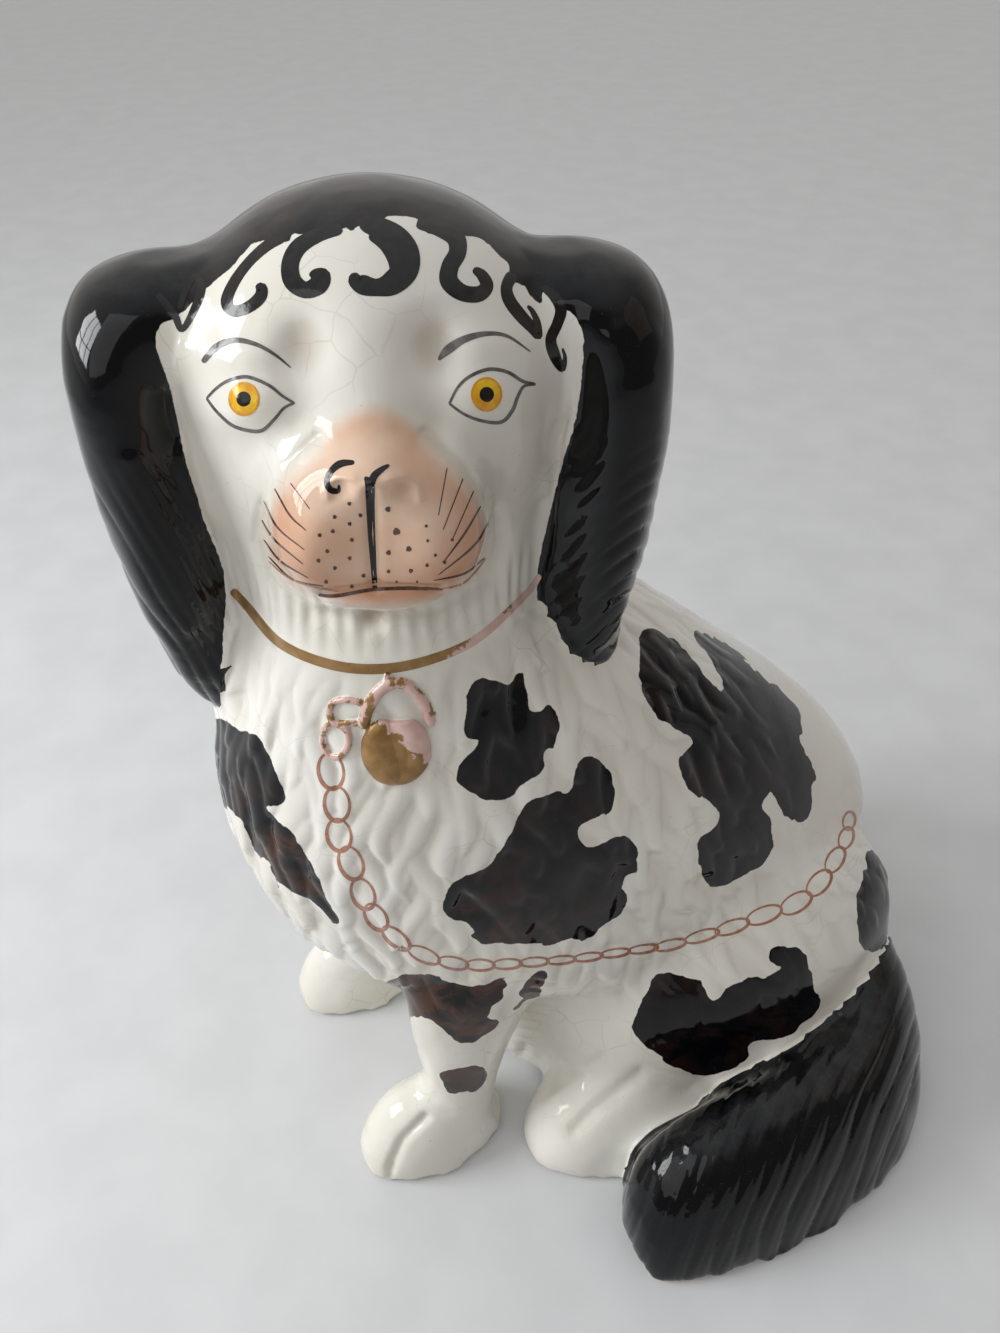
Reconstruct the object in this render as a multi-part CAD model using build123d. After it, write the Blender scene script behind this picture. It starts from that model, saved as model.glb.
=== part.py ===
from build123d import *
import math
import os

# Staffordshire dog figure: a seated spaniel in press-moulded hollow earthenware.
# The body faces -X, the head is turned to the display side at -Y, and +Z is up.
# While it is built, X = Y = 0 lies midway between the two forelegs. At the end the
# figure is moved, so that its origin is the middle of its footprint, on the ground.
# Every form is a stack of rings joined by small flat facets.

# Whole figure
figure_height = 318.0
collar_height = 226.0
neck_diameter = 74.0
wall = 5.5
quarter_turn = 90.0
cut_reach = 4 * figure_height

# Counts of facets: sides round a ring, and steps between two rows of a table
trunk_sides = 40
head_sides = 36
limb_sides = 24
sprig_sides = 18
cavity_sides = 20
table_steps = 2
mound_steps = 7

# Trunk: level rings from the ground to the collar
trunk_front = 56.0
trunk_back = 174.0
trunk_width = 116.0
# Each row: height, front, back, half width, shift along Y, roundness
trunk_shares = [
    (0.000, -0.40, 0.945, 0.86, -0.02, 0.84),
    (0.090, -0.34, 0.985, 0.95, -0.02, 0.84),
    (0.200, -0.30, 1.000, 0.98, -0.02, 0.84),
    (0.310, -0.20, 0.995, 0.99, -0.02, 0.84),
    (0.375, 0.30, 1.012, 1.00, -0.02, 0.86),
    (0.430, 0.62, 0.995, 1.01, -0.01, 0.88),
    (0.510, 0.80, 0.930, 1.01, 0.00, 0.90),
    (0.600, 0.90, 0.820, 0.99, 0.00, 0.90),
    (0.690, 0.94, 0.694, 0.95, 0.00, 0.90),
    (0.780, 0.92, 0.564, 0.88, 0.00, 0.92),
    (0.865, 0.84, 0.440, 0.78, -0.02, 0.95),
    (0.935, 0.74, 0.300, 0.69, -0.05, 0.98),
]

# Haunches, one on each side of the trunk
haunch_length = 141.0
haunch_width = 78.0
haunch_height = 106.0
haunch_waist = 44.0
haunch_foot_share = 0.94
haunch_back_gap = 0.0
near_haunch_side = 80.0
far_haunch_side = 67.0
mound_top_share = 0.88

# Hind paws, flat on the ground under the haunches
hind_paw_length = 94.0
hind_paw_width = 50.0
hind_paw_height = 36.0
hind_paw_front = 14.0
near_hind_paw_side = 83.0
far_hind_paw_side = 70.0

# Forelegs, moulded apart and set under the chest
foreleg_spacing = 72.0
foreleg_height = 118.0
foreleg_width = 27.0
# Each row: height, front, back, half width
foreleg_shares = [
    (0.00, 0.46, 0.42, 0.46),
    (0.15, 0.46, 0.42, 0.46),
    (0.32, 0.50, 0.50, 0.47),
    (0.50, 0.57, 0.72, 0.52),
    (0.68, 0.64, 1.04, 0.58),
    (0.84, 0.66, 1.30, 0.58),
    (0.95, 0.50, 1.20, 0.42),
    (1.00, 0.20, 0.80, 0.20),
]
fore_paw_length = 55.0
fore_paw_width = 35.0
fore_paw_height = 32.0
fore_paw_reach = 40.0

# Head, turned from the display side towards the chest
head_turn = 21.0
head_offset_x = 0.0
head_offset_y = -4.0
head_width = 85.0
head_depth = 76.0
# Each row: height from collar to crown, front, back, half width, roundness
head_shares = [
    (0.130, 0.90, 0.92, 0.89, 0.98),
    (0.270, 0.87, 0.95, 0.93, 0.95),
    (0.420, 0.89, 1.00, 0.97, 0.92),
    (0.560, 0.91, 1.02, 1.00, 0.92),
    (0.680, 0.90, 1.02, 1.00, 0.92),
    (0.780, 0.84, 0.98, 0.93, 0.94),
    (0.865, 0.72, 0.88, 0.79, 0.96),
    (0.925, 0.57, 0.75, 0.61, 0.98),
    (0.970, 0.37, 0.56, 0.40, 1.00),
    (1.000, 0.10, 0.25, 0.13, 1.00),
]

# Muzzle: upright rings ahead of the axis of the head
muzzle_width = 47.0
muzzle_height = 45.0
muzzle_reach = 48.0
muzzle_centre_height = 265.0
# Each row: reach, below the centre, above the centre, half width, roundness
muzzle_shares = [
    (0.30, 1.06, 1.16, 1.04, 0.92),
    (0.66, 1.02, 1.04, 1.00, 0.90),
    (0.80, 0.96, 0.94, 0.95, 0.88),
    (0.90, 0.84, 0.84, 0.84, 0.88),
    (0.97, 0.60, 0.68, 0.64, 0.90),
    (1.00, 0.26, 0.46, 0.36, 0.95),
]

# Ears: thick lobes that roll over the sides of the skull and hang to the shoulders
ear_span = 130.5
ear_thickness = 26.0
ear_depth = 46.0
ear_top_height = 306.0
ear_tip_height = 190.0
# Each row: height from tip to top, place across, thickness, depth
ear_shares = [
    (0.000, 0.34, 0.26, 0.20),
    (0.045, 0.33, 0.56, 0.48),
    (0.140, 0.32, 0.80, 0.74),
    (0.300, 0.37, 0.93, 0.92),
    (0.500, 0.45, 1.00, 1.00),
    (0.700, 0.50, 1.00, 0.98),
    (0.830, 0.48, 1.02, 0.92),
    (0.910, 0.34, 1.12, 0.82),
    (0.970, 0.14, 1.14, 0.62),
    (1.000, -0.04, 0.80, 0.34),
]

# Tail: curls from the rump round the display side, flat on the ground
tail_width = 45.0
tail_height = 50.0
tail_side = 103.0
tail_start = 159.5
tail_end = 33.0
tail_lean_share = 0.30
# Each row: place from start to end, place across, turn in degrees, width, height
tail_shares = [
    (-0.02, 0.40, 70, 0.50, 1.00),
    (0.00, 0.62, 56, 0.72, 1.02),
    (0.10, 0.80, 42, 0.90, 1.02),
    (0.27, 0.95, 20, 1.00, 1.00),
    (0.50, 1.00, 3, 1.00, 1.00),
    (0.72, 1.00, -5, 0.98, 0.96),
    (0.88, 0.98, -9, 0.86, 0.84),
    (0.97, 0.97, -11, 0.64, 0.62),
    (1.00, 0.96, -12, 0.34, 0.36),
]

# Base slab with its vent
slab_thickness = 6.0
vent_diameter = 7.0
vent_place_share = 0.55

# Padlock sprig under the chin, with its shackle and two links of the chain
lock_diameter = 16.5
lock_relief = 3.2
lock_height = 203.0
shackle_diameter = 15.0
shackle_bar = 3.0
link_length = 8.5
link_width = 6.0
link_bar = 1.6
sprig_root = 9.0


def smooth(rows):
    """The rows of a table with rows between them, on a curve through them all."""
    result = []
    for index in range(len(rows) - 1):
        before = rows[max(index - 1, 0)]
        start = rows[index]
        end = rows[index + 1]
        after = rows[min(index + 2, len(rows) - 1)]
        for step in range(table_steps):
            t = step / table_steps
            result.append([curve(*values, t) for values in zip(before, start, end, after)])
    result.append(list(rows[-1]))
    return result


def curve(before, start, end, after, t):
    """A cubic that runs from start to end with the slopes of its neighbours."""
    leaving = (end - before) / 2
    arriving = (after - start) / 2
    bend = 2 * start - 2 * end + leaving + arriving
    return bend * t**3 + (end - start - leaving - bend) * t**2 + leaving * t + start


def ring(height, front, back, half_width, shift, roundness, sides):
    """Corners of a level ring; a roundness of 1 makes an ellipse, less is squarer."""
    middle = (back - front) / 2
    half_length = (back + front) / 2
    corners = []
    for side in range(sides):
        angle = 2 * math.pi * side / sides
        along = math.copysign(abs(math.cos(angle)) ** roundness, math.cos(angle))
        across = math.copysign(abs(math.sin(angle)) ** roundness, math.sin(angle))
        corners.append(Vector(middle + half_length * along, shift + half_width * across, height))
    return corners


def facet_loft(rings):
    """A closed solid through the rings, made of flat three-cornered facets."""
    faces = [Face(Wire.make_polygon(rings[0])), Face(Wire.make_polygon(rings[-1]))]
    sides = len(rings[0])
    for lower, upper in zip(rings, rings[1:]):
        for side in range(sides):
            after = (side + 1) % sides
            faces.append(Face(Wire.make_polygon([lower[side], lower[after], upper[after]])))
            faces.append(Face(Wire.make_polygon([lower[side], upper[after], upper[side]])))
    return Solid(Shell(faces))


def mound(length, width, height, waist, inset, sides):
    """A rounded lump that stands on the ground, widest at the height of its waist."""
    half_length = length / 2 - inset
    half_width = width / 2 - inset
    dome = height - inset - waist
    rings = []
    if waist > 0:
        foot = haunch_foot_share
        rings.append(ring(0, half_length * foot, half_length * foot, half_width * foot, 0, 1, sides))
    for step in range(mound_steps + 1):
        angle = math.radians(quarter_turn) * mound_top_share * step / mound_steps
        level = waist + dome * math.sin(angle) / math.sin(math.radians(quarter_turn) * mound_top_share)
        along = half_length * math.cos(angle)
        rings.append(ring(level, along, along, half_width * math.cos(angle), 0, 1, sides))
    return facet_loft(rings)


def trunk(inset, sides):
    half = trunk_width / 2
    neck = neck_diameter / 2
    rows = []
    for height, front, back, across, shift, roundness in trunk_shares:
        rows.append(
            (collar_height * height, trunk_front * front, trunk_back * back, half * across, half * shift, roundness)
        )
    rows.append((collar_height, neck - head_offset_x, neck + head_offset_x, neck, head_offset_y, 1))
    rings = []
    for height, front, back, across, shift, roundness in smooth(rows):
        rings.append(ring(height, front - inset, back - inset, across - inset, shift, roundness, sides))
    return facet_loft(rings)


def haunches(inset, sides):
    shape = mound(haunch_length, haunch_width, haunch_height, haunch_waist, inset, sides)
    centre = trunk_back - haunch_back_gap - haunch_length / 2
    near = Pos(centre, haunch_width / 2 - near_haunch_side, 0) * shape
    far = Pos(centre, far_haunch_side - haunch_width / 2, 0) * shape
    return [near, far]


def hind_paws():
    shape = mound(hind_paw_length, hind_paw_width, hind_paw_height, 0, 0, limb_sides)
    centre = hind_paw_front + hind_paw_length / 2
    near = Pos(centre, hind_paw_width / 2 - near_hind_paw_side, 0) * shape
    far = Pos(centre, far_hind_paw_side - hind_paw_width / 2, 0) * shape
    return [near, far]


def torso_outside():
    return trunk(0, trunk_sides) + haunches(0, limb_sides) + hind_paws()


def torso_cavity():
    return trunk(wall, cavity_sides) + haunches(wall, cavity_sides)


def head_place():
    return Pos(head_offset_x, head_offset_y, 0) * Rot(0, 0, quarter_turn - head_turn)


def skull_rows(rise):
    neck = neck_diameter / 2
    rows = [(collar_height, neck, neck, neck, 1)]
    for height, front, back, across, roundness in head_shares:
        half_depth = head_depth / 2
        rows.append(
            (collar_height + rise * height, half_depth * front, half_depth * back, head_width / 2 * across, roundness)
        )
    return rows


def skull():
    rings = []
    for height, front, back, across, roundness in smooth(skull_rows(figure_height - collar_height)):
        rings.append(ring(height, front, back, across, 0, roundness, head_sides))
    return facet_loft(rings)


def muzzle():
    half_height = muzzle_height / 2
    rows = []
    for reach, below, above, across, roundness in muzzle_shares:
        rows.append(
            (muzzle_reach * reach, half_height * below, half_height * above, muzzle_width / 2 * across, roundness)
        )
    rings = []
    for reach, below, above, across, roundness in smooth(rows):
        rings.append(ring(reach, below, above, across, 0, roundness, limb_sides))
    return Pos(0, 0, muzzle_centre_height) * Rot(0, -quarter_turn, 0) * facet_loft(rings)


def head_outside():
    return head_place() * (skull() + muzzle())


def head_cavity():
    rings = []
    for height, front, back, across, roundness in skull_rows(figure_height - collar_height - wall):
        if front > 2 * wall:
            rings.append(ring(height, front - wall, back - wall, across - wall, 0, roundness, cavity_sides))
    return head_place() * facet_loft(rings)


def ear(side):
    """An ear; the left one, at side -1, is on the right when the face is seen."""
    inner = ear_span / 2 - ear_thickness
    rows = []
    for rise, across, thick, deep in ear_shares:
        level = ear_tip_height + (ear_top_height - ear_tip_height) * rise
        rows.append((level, ear_depth / 2 * deep, ear_thickness / 2 * thick, side * (inner + ear_thickness * across)))
    rings = [ring(level, deep, deep, thick, place, 1, limb_sides) for level, deep, thick, place in smooth(rows)]
    return head_place() * facet_loft(rings)


def foreleg(side):
    rows = []
    for height, front, back, across in foreleg_shares:
        rows.append((foreleg_height * height, foreleg_width * front, foreleg_width * back, foreleg_width * across))
    rings = [ring(level, front, back, across, 0, 1, limb_sides) for level, front, back, across in smooth(rows)]
    paw = mound(fore_paw_length, fore_paw_width, fore_paw_height, 0, 0, limb_sides)
    leg = facet_loft(rings) + Pos(fore_paw_length / 2 - fore_paw_reach, 0, 0) * paw
    return Pos(0, side * foreleg_spacing / 2, 0) * leg


def tail_ring(x, y, turn, half_width, height):
    """Corners of a half ellipse that stands on the ground and leans on the haunch."""
    corners = []
    for side in range(limb_sides + 1):
        angle = math.pi * side / limb_sides
        across = half_width * (math.cos(angle) + tail_lean_share * math.sin(angle))
        corners.append(
            Vector(
                x - across * math.sin(math.radians(turn)),
                y + across * math.cos(math.radians(turn)),
                height * math.sin(angle),
            )
        )
    return corners


def tail():
    rings = []
    for along, across, turn, wide, tall in smooth(tail_shares):
        x = tail_start + (tail_end - tail_start) * along
        rings.append(tail_ring(x, -tail_side * across, turn, tail_width / 2 * wide, tail_height * tall))
    return facet_loft(rings)


def base_slab(cavity):
    plate = Box(cut_reach, cut_reach, slab_thickness, align=(Align.CENTER, Align.CENTER, Align.MIN))
    vent = Cylinder(vent_diameter / 2, 2 * slab_thickness)
    return (cavity & plate) - Pos(trunk_back * vent_place_share, 0, slab_thickness / 2) * vent


def throat_point(torso, height):
    """The place on the front of the throat, under the chin, at a height."""
    turn = math.radians(head_turn)
    aim = Axis((head_offset_x, head_offset_y, height), (-math.sin(turn), -math.cos(turn), 0))
    points = [point for point, normal in torso.find_intersection_points(aim)]
    return max(points, key=lambda point: (point - aim.position).dot(aim.direction))


def disc(length, width):
    """An upright prism through the face of the throat, round in outline."""
    ends = [
        ring(level, length / 2, length / 2, width / 2, 0, 1, sprig_sides) for level in (-sprig_root, lock_relief)
    ]
    return facet_loft(ends)


def link(length, width, bar):
    return disc(length, width) - disc(length - 2 * bar, width - 2 * bar)


def padlock(torso):
    upper = throat_point(torso, lock_height + lock_diameter / 2)
    lower = throat_point(torso, lock_height - lock_diameter / 2)
    turn = math.radians(head_turn)
    across = Vector(math.cos(turn), -math.sin(turn), 0)
    seat = Plane(origin=(upper + lower) / 2, x_dir=across, z_dir=across.cross(upper - lower))
    radius = lock_diameter / 2
    beside = shackle_diameter / 2 - link_bar
    sprig = disc(lock_diameter, lock_diameter)
    sprig += Pos(0, radius) * link(shackle_diameter, shackle_diameter, shackle_bar)
    sprig += Pos(-beside - link_length / 2, radius) * link(link_length, link_width, link_bar)
    sprig += Pos(-beside - link_length, radius - link_length / 2) * link(link_width, link_length, link_bar)
    return seat * sprig - torso


def half_space(side, across_x):
    """A block that fills one side of the figure, to cut a shell along its seam."""
    aligns = {-1: Align.MAX, 1: Align.MIN}
    along = (aligns[side], Align.CENTER) if across_x else (Align.CENTER, aligns[side])
    return Box(cut_reach, cut_reach, cut_reach, align=(*along, Align.CENTER))


def figure_pieces():
    torso = torso_outside()
    cavity = torso_cavity()
    body_shell = torso - cavity
    head = head_outside()
    head_shell = head - head_cavity()
    face_side = head_place() * half_space(-1, True)
    nape_side = head_place() * half_space(1, True)
    return {
        "body_front_shell": body_shell & half_space(-1, False),
        "body_back_shell": body_shell & half_space(1, False),
        "face_shell": head_shell & face_side,
        "nape_shell": head_shell & nape_side,
        "left_ear": ear(-1) - head - torso,
        "right_ear": ear(1) - head - torso,
        "left_foreleg": foreleg(-1) - torso,
        "right_foreleg": foreleg(1) - torso,
        "tail": tail() - torso,
        "base_slab": base_slab(cavity),
        "padlock": padlock(torso),
    }


def main():
    pieces = figure_pieces()
    box = Compound(list(pieces.values())).bounding_box()
    centre = box.center()
    print("figure size", box.size, "middle", centre)
    os.makedirs("parts", exist_ok=True)
    for name, piece in pieces.items():
        export_step(Pos(-centre.X, -centre.Y, -box.min.Z) * piece, f"parts/{name}.step")


main()
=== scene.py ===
import math

import bmesh
import bpy
import numpy as np
from mathutils import Matrix, Vector
from mathutils.bvhtree import BVHTree


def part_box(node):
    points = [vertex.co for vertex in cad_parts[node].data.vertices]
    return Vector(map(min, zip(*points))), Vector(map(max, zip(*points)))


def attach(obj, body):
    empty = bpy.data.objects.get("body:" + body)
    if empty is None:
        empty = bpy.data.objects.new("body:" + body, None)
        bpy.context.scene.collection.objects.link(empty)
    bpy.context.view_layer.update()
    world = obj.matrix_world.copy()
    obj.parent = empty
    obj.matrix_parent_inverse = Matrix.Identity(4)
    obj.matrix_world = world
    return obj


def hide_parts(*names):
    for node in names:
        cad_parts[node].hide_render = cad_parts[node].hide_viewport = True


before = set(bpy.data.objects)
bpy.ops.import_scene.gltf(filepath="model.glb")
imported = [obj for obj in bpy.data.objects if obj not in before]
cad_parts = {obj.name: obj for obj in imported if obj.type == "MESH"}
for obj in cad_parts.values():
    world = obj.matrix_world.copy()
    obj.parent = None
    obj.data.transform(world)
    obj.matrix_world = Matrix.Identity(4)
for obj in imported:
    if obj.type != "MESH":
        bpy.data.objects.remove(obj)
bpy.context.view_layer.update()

# Lengths in this script are millimetres until a mesh is written, which is in metres.
MM = 0.001

# The photograph: its frame in pixels, and where the camera stood in the part's own frame
PHOTO_WIDTH, PHOTO_HEIGHT = 1000, 1333
FOCAL_PIXELS = 1080.0
# The figure's middle in the frame that the part is built in
MIDDLE = np.array([56.38, -27.94, 0.0])
CAMERA_PLACE = np.array([-70.6, -214.5, 386.0]) - MIDDLE
CAMERA_HEADING = (0.4319, 0.9019)
CAMERA_PITCH = 40.99
SENSOR_WIDTH = 36.0

# The figure's own places
BODY_MIDDLE_Y = -MIDDLE[1]
HEAD_AXIS = np.array([0.0, -4.0]) - MIDDLE[:2]
HEAD_TURN = 21.0

# The skin: the cubes it is remeshed from, its wall, and the seed of the locks
VOXEL = 3.6
SHELL_WALL = 3.0
SEED = 7


def unit(v):
    return v / np.maximum(np.linalg.norm(v, axis=-1, keepdims=True), 1e-9)


# Camera maths
pitch = math.radians(CAMERA_PITCH)
look = np.array(
    [CAMERA_HEADING[0] * math.cos(pitch), CAMERA_HEADING[1] * math.cos(pitch), -math.sin(pitch)]
)
across = np.array([CAMERA_HEADING[1], -CAMERA_HEADING[0], 0.0])
down = np.cross(look, across)


def to_photo(points):
    """Photograph pixels of points, and how many millimetres one pixel covers there."""
    r = points - CAMERA_PLACE
    depth = r @ look
    u = PHOTO_WIDTH / 2 + FOCAL_PIXELS * (r @ across) / depth
    v = PHOTO_HEIGHT / 2 + FOCAL_PIXELS * (r @ down) / depth
    return np.stack([u, v], -1), depth / FOCAL_PIXELS


def ray(u, v):
    """The direction from the camera through a pixel."""
    right = (u - PHOTO_WIDTH / 2) / FOCAL_PIXELS
    below = (v - PHOTO_HEIGHT / 2) / FOCAL_PIXELS
    return unit(look + right * across + below * down)


# Mesh maths
def mesh_arrays(mesh):
    """A mesh's vertices in mm and its quads."""
    points = np.empty(len(mesh.vertices) * 3, np.float32)
    mesh.vertices.foreach_get("co", points)
    corners = np.empty(len(mesh.loops), np.int32)
    mesh.loops.foreach_get("vertex_index", corners)
    return points.reshape(-1, 3).astype(float) / MM, corners.reshape(-1, 4).astype(np.int64)


def sides_of(quads):
    """The four sides of each quad, as pairs of vertices in turn."""
    return np.concatenate([quads[:, [k, (k + 1) % 4]] for k in range(4)])


def open_sides(quads):
    """The sides that only one quad has, in the direction in which it has them."""
    taken = {(int(a), int(b)) for a, b in sides_of(quads)}
    return sorted((a, b) for a, b in taken if (b, a) not in taken)


def edges_of(quads):
    """The edges, each quad's edges, and the keys and their base, from which an edge is found."""
    sides = sides_of(quads)
    sides.sort(axis=1)
    size = int(quads.max()) + 1
    keys, back = np.unique(sides[:, 0] * size + sides[:, 1], return_inverse=True)
    return np.stack([keys // size, keys % size], -1), back.reshape(4, -1).T, keys, size


def summed(index, values, count):
    """Values added up under each number of the index, or how often it occurs without values."""
    if values is None or values.ndim == 1:
        return np.bincount(index, values, count)
    return np.stack([np.bincount(index, column, count) for column in values.T], -1)


def summed_of_quads(numbers, values, count):
    """What each quad has, added up at its four corners or its four edges."""
    return sum(summed(numbers[:, k], values, count) for k in range(4))


class Net:
    """The neighbours of each vertex, for blurring what the vertices carry."""

    def __init__(self, edges, count):
        self.a, self.b, self.count = edges[:, 0], edges[:, 1], count
        self.degree = np.maximum(summed(self.a, None, count) + summed(self.b, None, count), 1)

    def mean(self, values):
        total = summed(self.a, values[self.b], self.count) + summed(self.b, values[self.a], self.count)
        return total / (self.degree if values.ndim == 1 else self.degree[:, None])

    def blur(self, values, steps, share=1.0):
        for _ in range(steps):
            values = values + share * (self.mean(values) - values)
        return values


def normals_of(points, quads):
    """The vertices' normals, in which larger quads count for more."""
    a, b, c, d = (points[quads[:, k]] for k in range(4))
    return unit(summed_of_quads(quads, np.cross(c - a, d - b), len(points)))


def refine(points, quads):
    """One step of smooth subdivision of a mesh of quads. Old vertices keep their numbers."""
    edges, face_edges, keys, size = edges_of(quads)
    n, e = len(points), len(edges)
    centres = points[quads].mean(1)
    middles = points[edges].mean(1)
    touching = summed_of_quads(face_edges, None, e)
    beside = summed_of_quads(face_edges, centres, e) / np.maximum(touching, 1)[:, None]
    rim = touching < 2
    edge_points = np.where(rim[:, None], middles, (middles + beside) / 2)
    valence = np.maximum(summed_of_quads(quads, None, n), 1)[:, None]
    face_mean = summed_of_quads(quads, centres, n) / valence
    degree = np.maximum(summed(edges.ravel(), None, n), 1)[:, None]
    edge_mean = (summed(edges[:, 0], middles, n) + summed(edges[:, 1], middles, n)) / degree
    moved = (face_mean + 2 * edge_mean + (valence - 3) * points) / valence
    held = edges[rim].ravel()
    moved[held] = points[held]
    new_points = np.concatenate([moved, edge_points, centres])
    mids = n + face_edges
    hearts = n + e + np.arange(len(quads))
    new_quads = np.stack(
        [np.stack([quads[:, k], mids[:, k], hearts, mids[:, (k + 3) % 4]], -1) for k in range(4)], 1
    ).reshape(-1, 4)
    return new_points, new_quads, (keys, size, n)


def outer_part(points, quads):
    """Only the component that reaches furthest: the inner wall of the hollow is left out."""
    tag = np.arange(len(points))
    while True:
        low = tag[quads].min(1)
        new = tag.copy()
        for k in range(4):
            np.minimum.at(new, quads[:, k], low)
        new = new[new]
        if (new == tag).all():
            break
        tag = new
    widest = tag[points[:, 2].argmax()]
    keep = tag == widest
    number = np.cumsum(keep) - 1
    quads = quads[keep[quads[:, 0]]]
    return points[keep], number[quads]


# The skin: every fired piece as one continuous surface
SKIN_NODES = [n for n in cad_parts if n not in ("padlock", "base_slab")]
NODE_NAMES = SKIN_NODES + ["base_slab"]
HEAD = [NODE_NAMES.index(n) for n in ("face_shell", "nape_shell")]
EARS = [NODE_NAMES.index(n) for n in ("left_ear", "right_ear")]
LEGS = [NODE_NAMES.index(n) for n in ("left_foreleg", "right_foreleg")]
TAIL = [NODE_NAMES.index("tail")]
SLAB = [NODE_NAMES.index("base_slab")]


# The cube that plugs the slab's vent, as shares of the slab
PLUG_SHARES = (0.72, 0.5, 0.8)


def joined_shape():
    """All fired pieces remeshed as one shape. The vent is plugged, so that no way leads inside."""
    bm = bmesh.new()
    for name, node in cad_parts.items():
        if name != "padlock":
            bm.from_mesh(node.data)
    low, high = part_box("base_slab")
    middle = (low + high) / 2
    plug = bmesh.ops.create_cube(bm, size=1.0)
    spread = Vector([share * (high[k] - low[k]) for k, share in enumerate(PLUG_SHARES)])
    for v in plug["verts"]:
        v.co = Vector([v.co[k] * spread[k] + middle[k] for k in range(3)])
    mesh = bpy.data.meshes.new("joined")
    bm.to_mesh(mesh)
    bm.free()
    shape = bpy.data.objects.new("joined", mesh)
    bpy.context.scene.collection.objects.link(shape)
    step = shape.modifiers.new("voxels", "REMESH")
    step.mode = "VOXEL"
    step.voxel_size = VOXEL * MM
    step.adaptivity = 0
    graph = bpy.context.evaluated_depsgraph_get()
    made = bpy.data.meshes.new_from_object(shape.evaluated_get(graph))
    arrays = mesh_arrays(made)
    bpy.data.objects.remove(shape)
    bpy.data.meshes.remove(made)
    return arrays


def node_tree():
    """A tree of the CAD nodes' triangles, with the node that each belongs to."""
    points, faces, owner = [], [], []
    start = 0
    for number, name in enumerate(NODE_NAMES):
        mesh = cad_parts[name].data
        points += [v.co / MM for v in mesh.vertices]
        faces += [[start + i for i in p.vertices] for p in mesh.polygons]
        owner += [number] * len(mesh.polygons)
        start += len(mesh.vertices)
    return BVHTree.FromPolygons(points, faces), np.array(owner)


def nearest_node(places):
    return np.array([owner[tree.find_nearest(Vector(p))[2]] for p in places])


# How strongly the steps of the facets are smoothed away, less on the thin forms and the tail
SMOOTH_ROUNDS, SMOOTH_PULL, SMOOTH_PUSH = 60, 0.50, 0.53
THIN_FORM_SHARE, TAIL_SHARE, SHARE_BLUR = 0.6, 0.8, 5
# A lone quad changes sides when more than this many neighbours differ from it
LABEL_ROUNDS, OWN_VOTE = 6, 1.5

points, quads = outer_part(*joined_shape())
tree, owner = node_tree()
net = Net(edges_of(quads)[0], len(points))
firm = np.ones(len(NODE_NAMES))
firm[EARS + LEGS] = THIN_FORM_SHARE
firm[TAIL] = TAIL_SHARE
share = net.blur(firm[nearest_node(points)], SHARE_BLUR)[:, None]
for _ in range(SMOOTH_ROUNDS):
    points = points + SMOOTH_PULL * share * (net.mean(points) - points)
    points = points - SMOOTH_PUSH * share * (net.mean(points) - points)
points[:, 2] = np.maximum(points[:, 2], 0.0)
label = nearest_node(points[quads].mean(1))


def tidy_labels(label, quads):
    """Each quad takes what most of its neighbours have, so that no lone quad is left."""
    _, face_edges, _, _ = edges_of(quads)
    order = np.argsort(face_edges.ravel(), kind="stable")
    flat = face_edges.ravel()[order]
    faces = np.repeat(np.arange(len(quads)), 4)[order]
    starts = np.flatnonzero(np.r_[True, flat[1:] != flat[:-1]])
    pairs = np.stack([faces[starts], faces[np.minimum(starts + 1, len(faces) - 1)]], -1)
    for _ in range(LABEL_ROUNDS):
        votes = np.zeros((len(quads), len(NODE_NAMES)))
        np.add.at(votes, (pairs[:, 0], label[pairs[:, 1]]), 1)
        np.add.at(votes, (pairs[:, 1], label[pairs[:, 0]]), 1)
        votes[np.arange(len(quads)), label] += OWN_VOTE
        label = votes.argmax(1)
    return label


label = tidy_labels(label, quads)


def border_edges(quads, label):
    """The edges between quads of different nodes, as a mask over edges."""
    edges, face_edges, _, _ = edges_of(quads)
    low = np.full(len(edges), len(NODE_NAMES))
    high = np.full(len(edges), -1)
    for k in range(4):
        np.minimum.at(low, face_edges[:, k], label)
        np.maximum.at(high, face_edges[:, k], label)
    return edges, low != high


# The seams are drawn smooth, and the rest of the mesh follows along the surface
SEAM_ROUNDS, SEAM_PULL = 12, 0.5
edges, seam = border_edges(quads, label)
on_seam = np.zeros(len(points), bool)
on_seam[edges[seam].ravel()] = True
seam_net = Net(edges[seam], len(points))
for _ in range(SEAM_ROUNDS):
    normals = normals_of(points, quads)
    pull = np.where(on_seam[:, None], seam_net.mean(points), net.mean(points)) - points
    pull -= (pull * normals).sum(1, keepdims=True) * normals
    points = points + SEAM_PULL * pull
points[:, 2] = np.maximum(points[:, 2], 0.0)

# The coarse mesh stays as the inner wall, and the links tell how the fine one grew from it
REFINE_ROUNDS, INSIDE_BLUR = ((2, 10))
cage_quads, cage_label = quads, label
links = []
for _ in range(REFINE_ROUNDS):
    points, quads, link = refine(points, quads)
    label = np.repeat(label, 4)
    links.append(link)
points[:, 2] = np.maximum(points[:, 2], 0.0)
net = Net(edges_of(quads)[0], len(points))
normals = normals_of(points, quads)


def inside(groups):
    """How far each vertex lies inside these nodes, about -1 to 1, crossing 0 at their edge."""
    mine = np.isin(label, groups).astype(float)
    share = summed_of_quads(quads, mine, len(points)) / summed_of_quads(quads, None, len(points))
    return net.blur(2 * share - 1, INSIDE_BLUR)


ear_share, tail_share, head_share, leg_share, slab_share = (
    inside(group) for group in (EARS, TAIL, HEAD, LEGS, SLAB)
)


# Relief
# Distances in pixels are followed this far
FAR = 60.0


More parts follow.
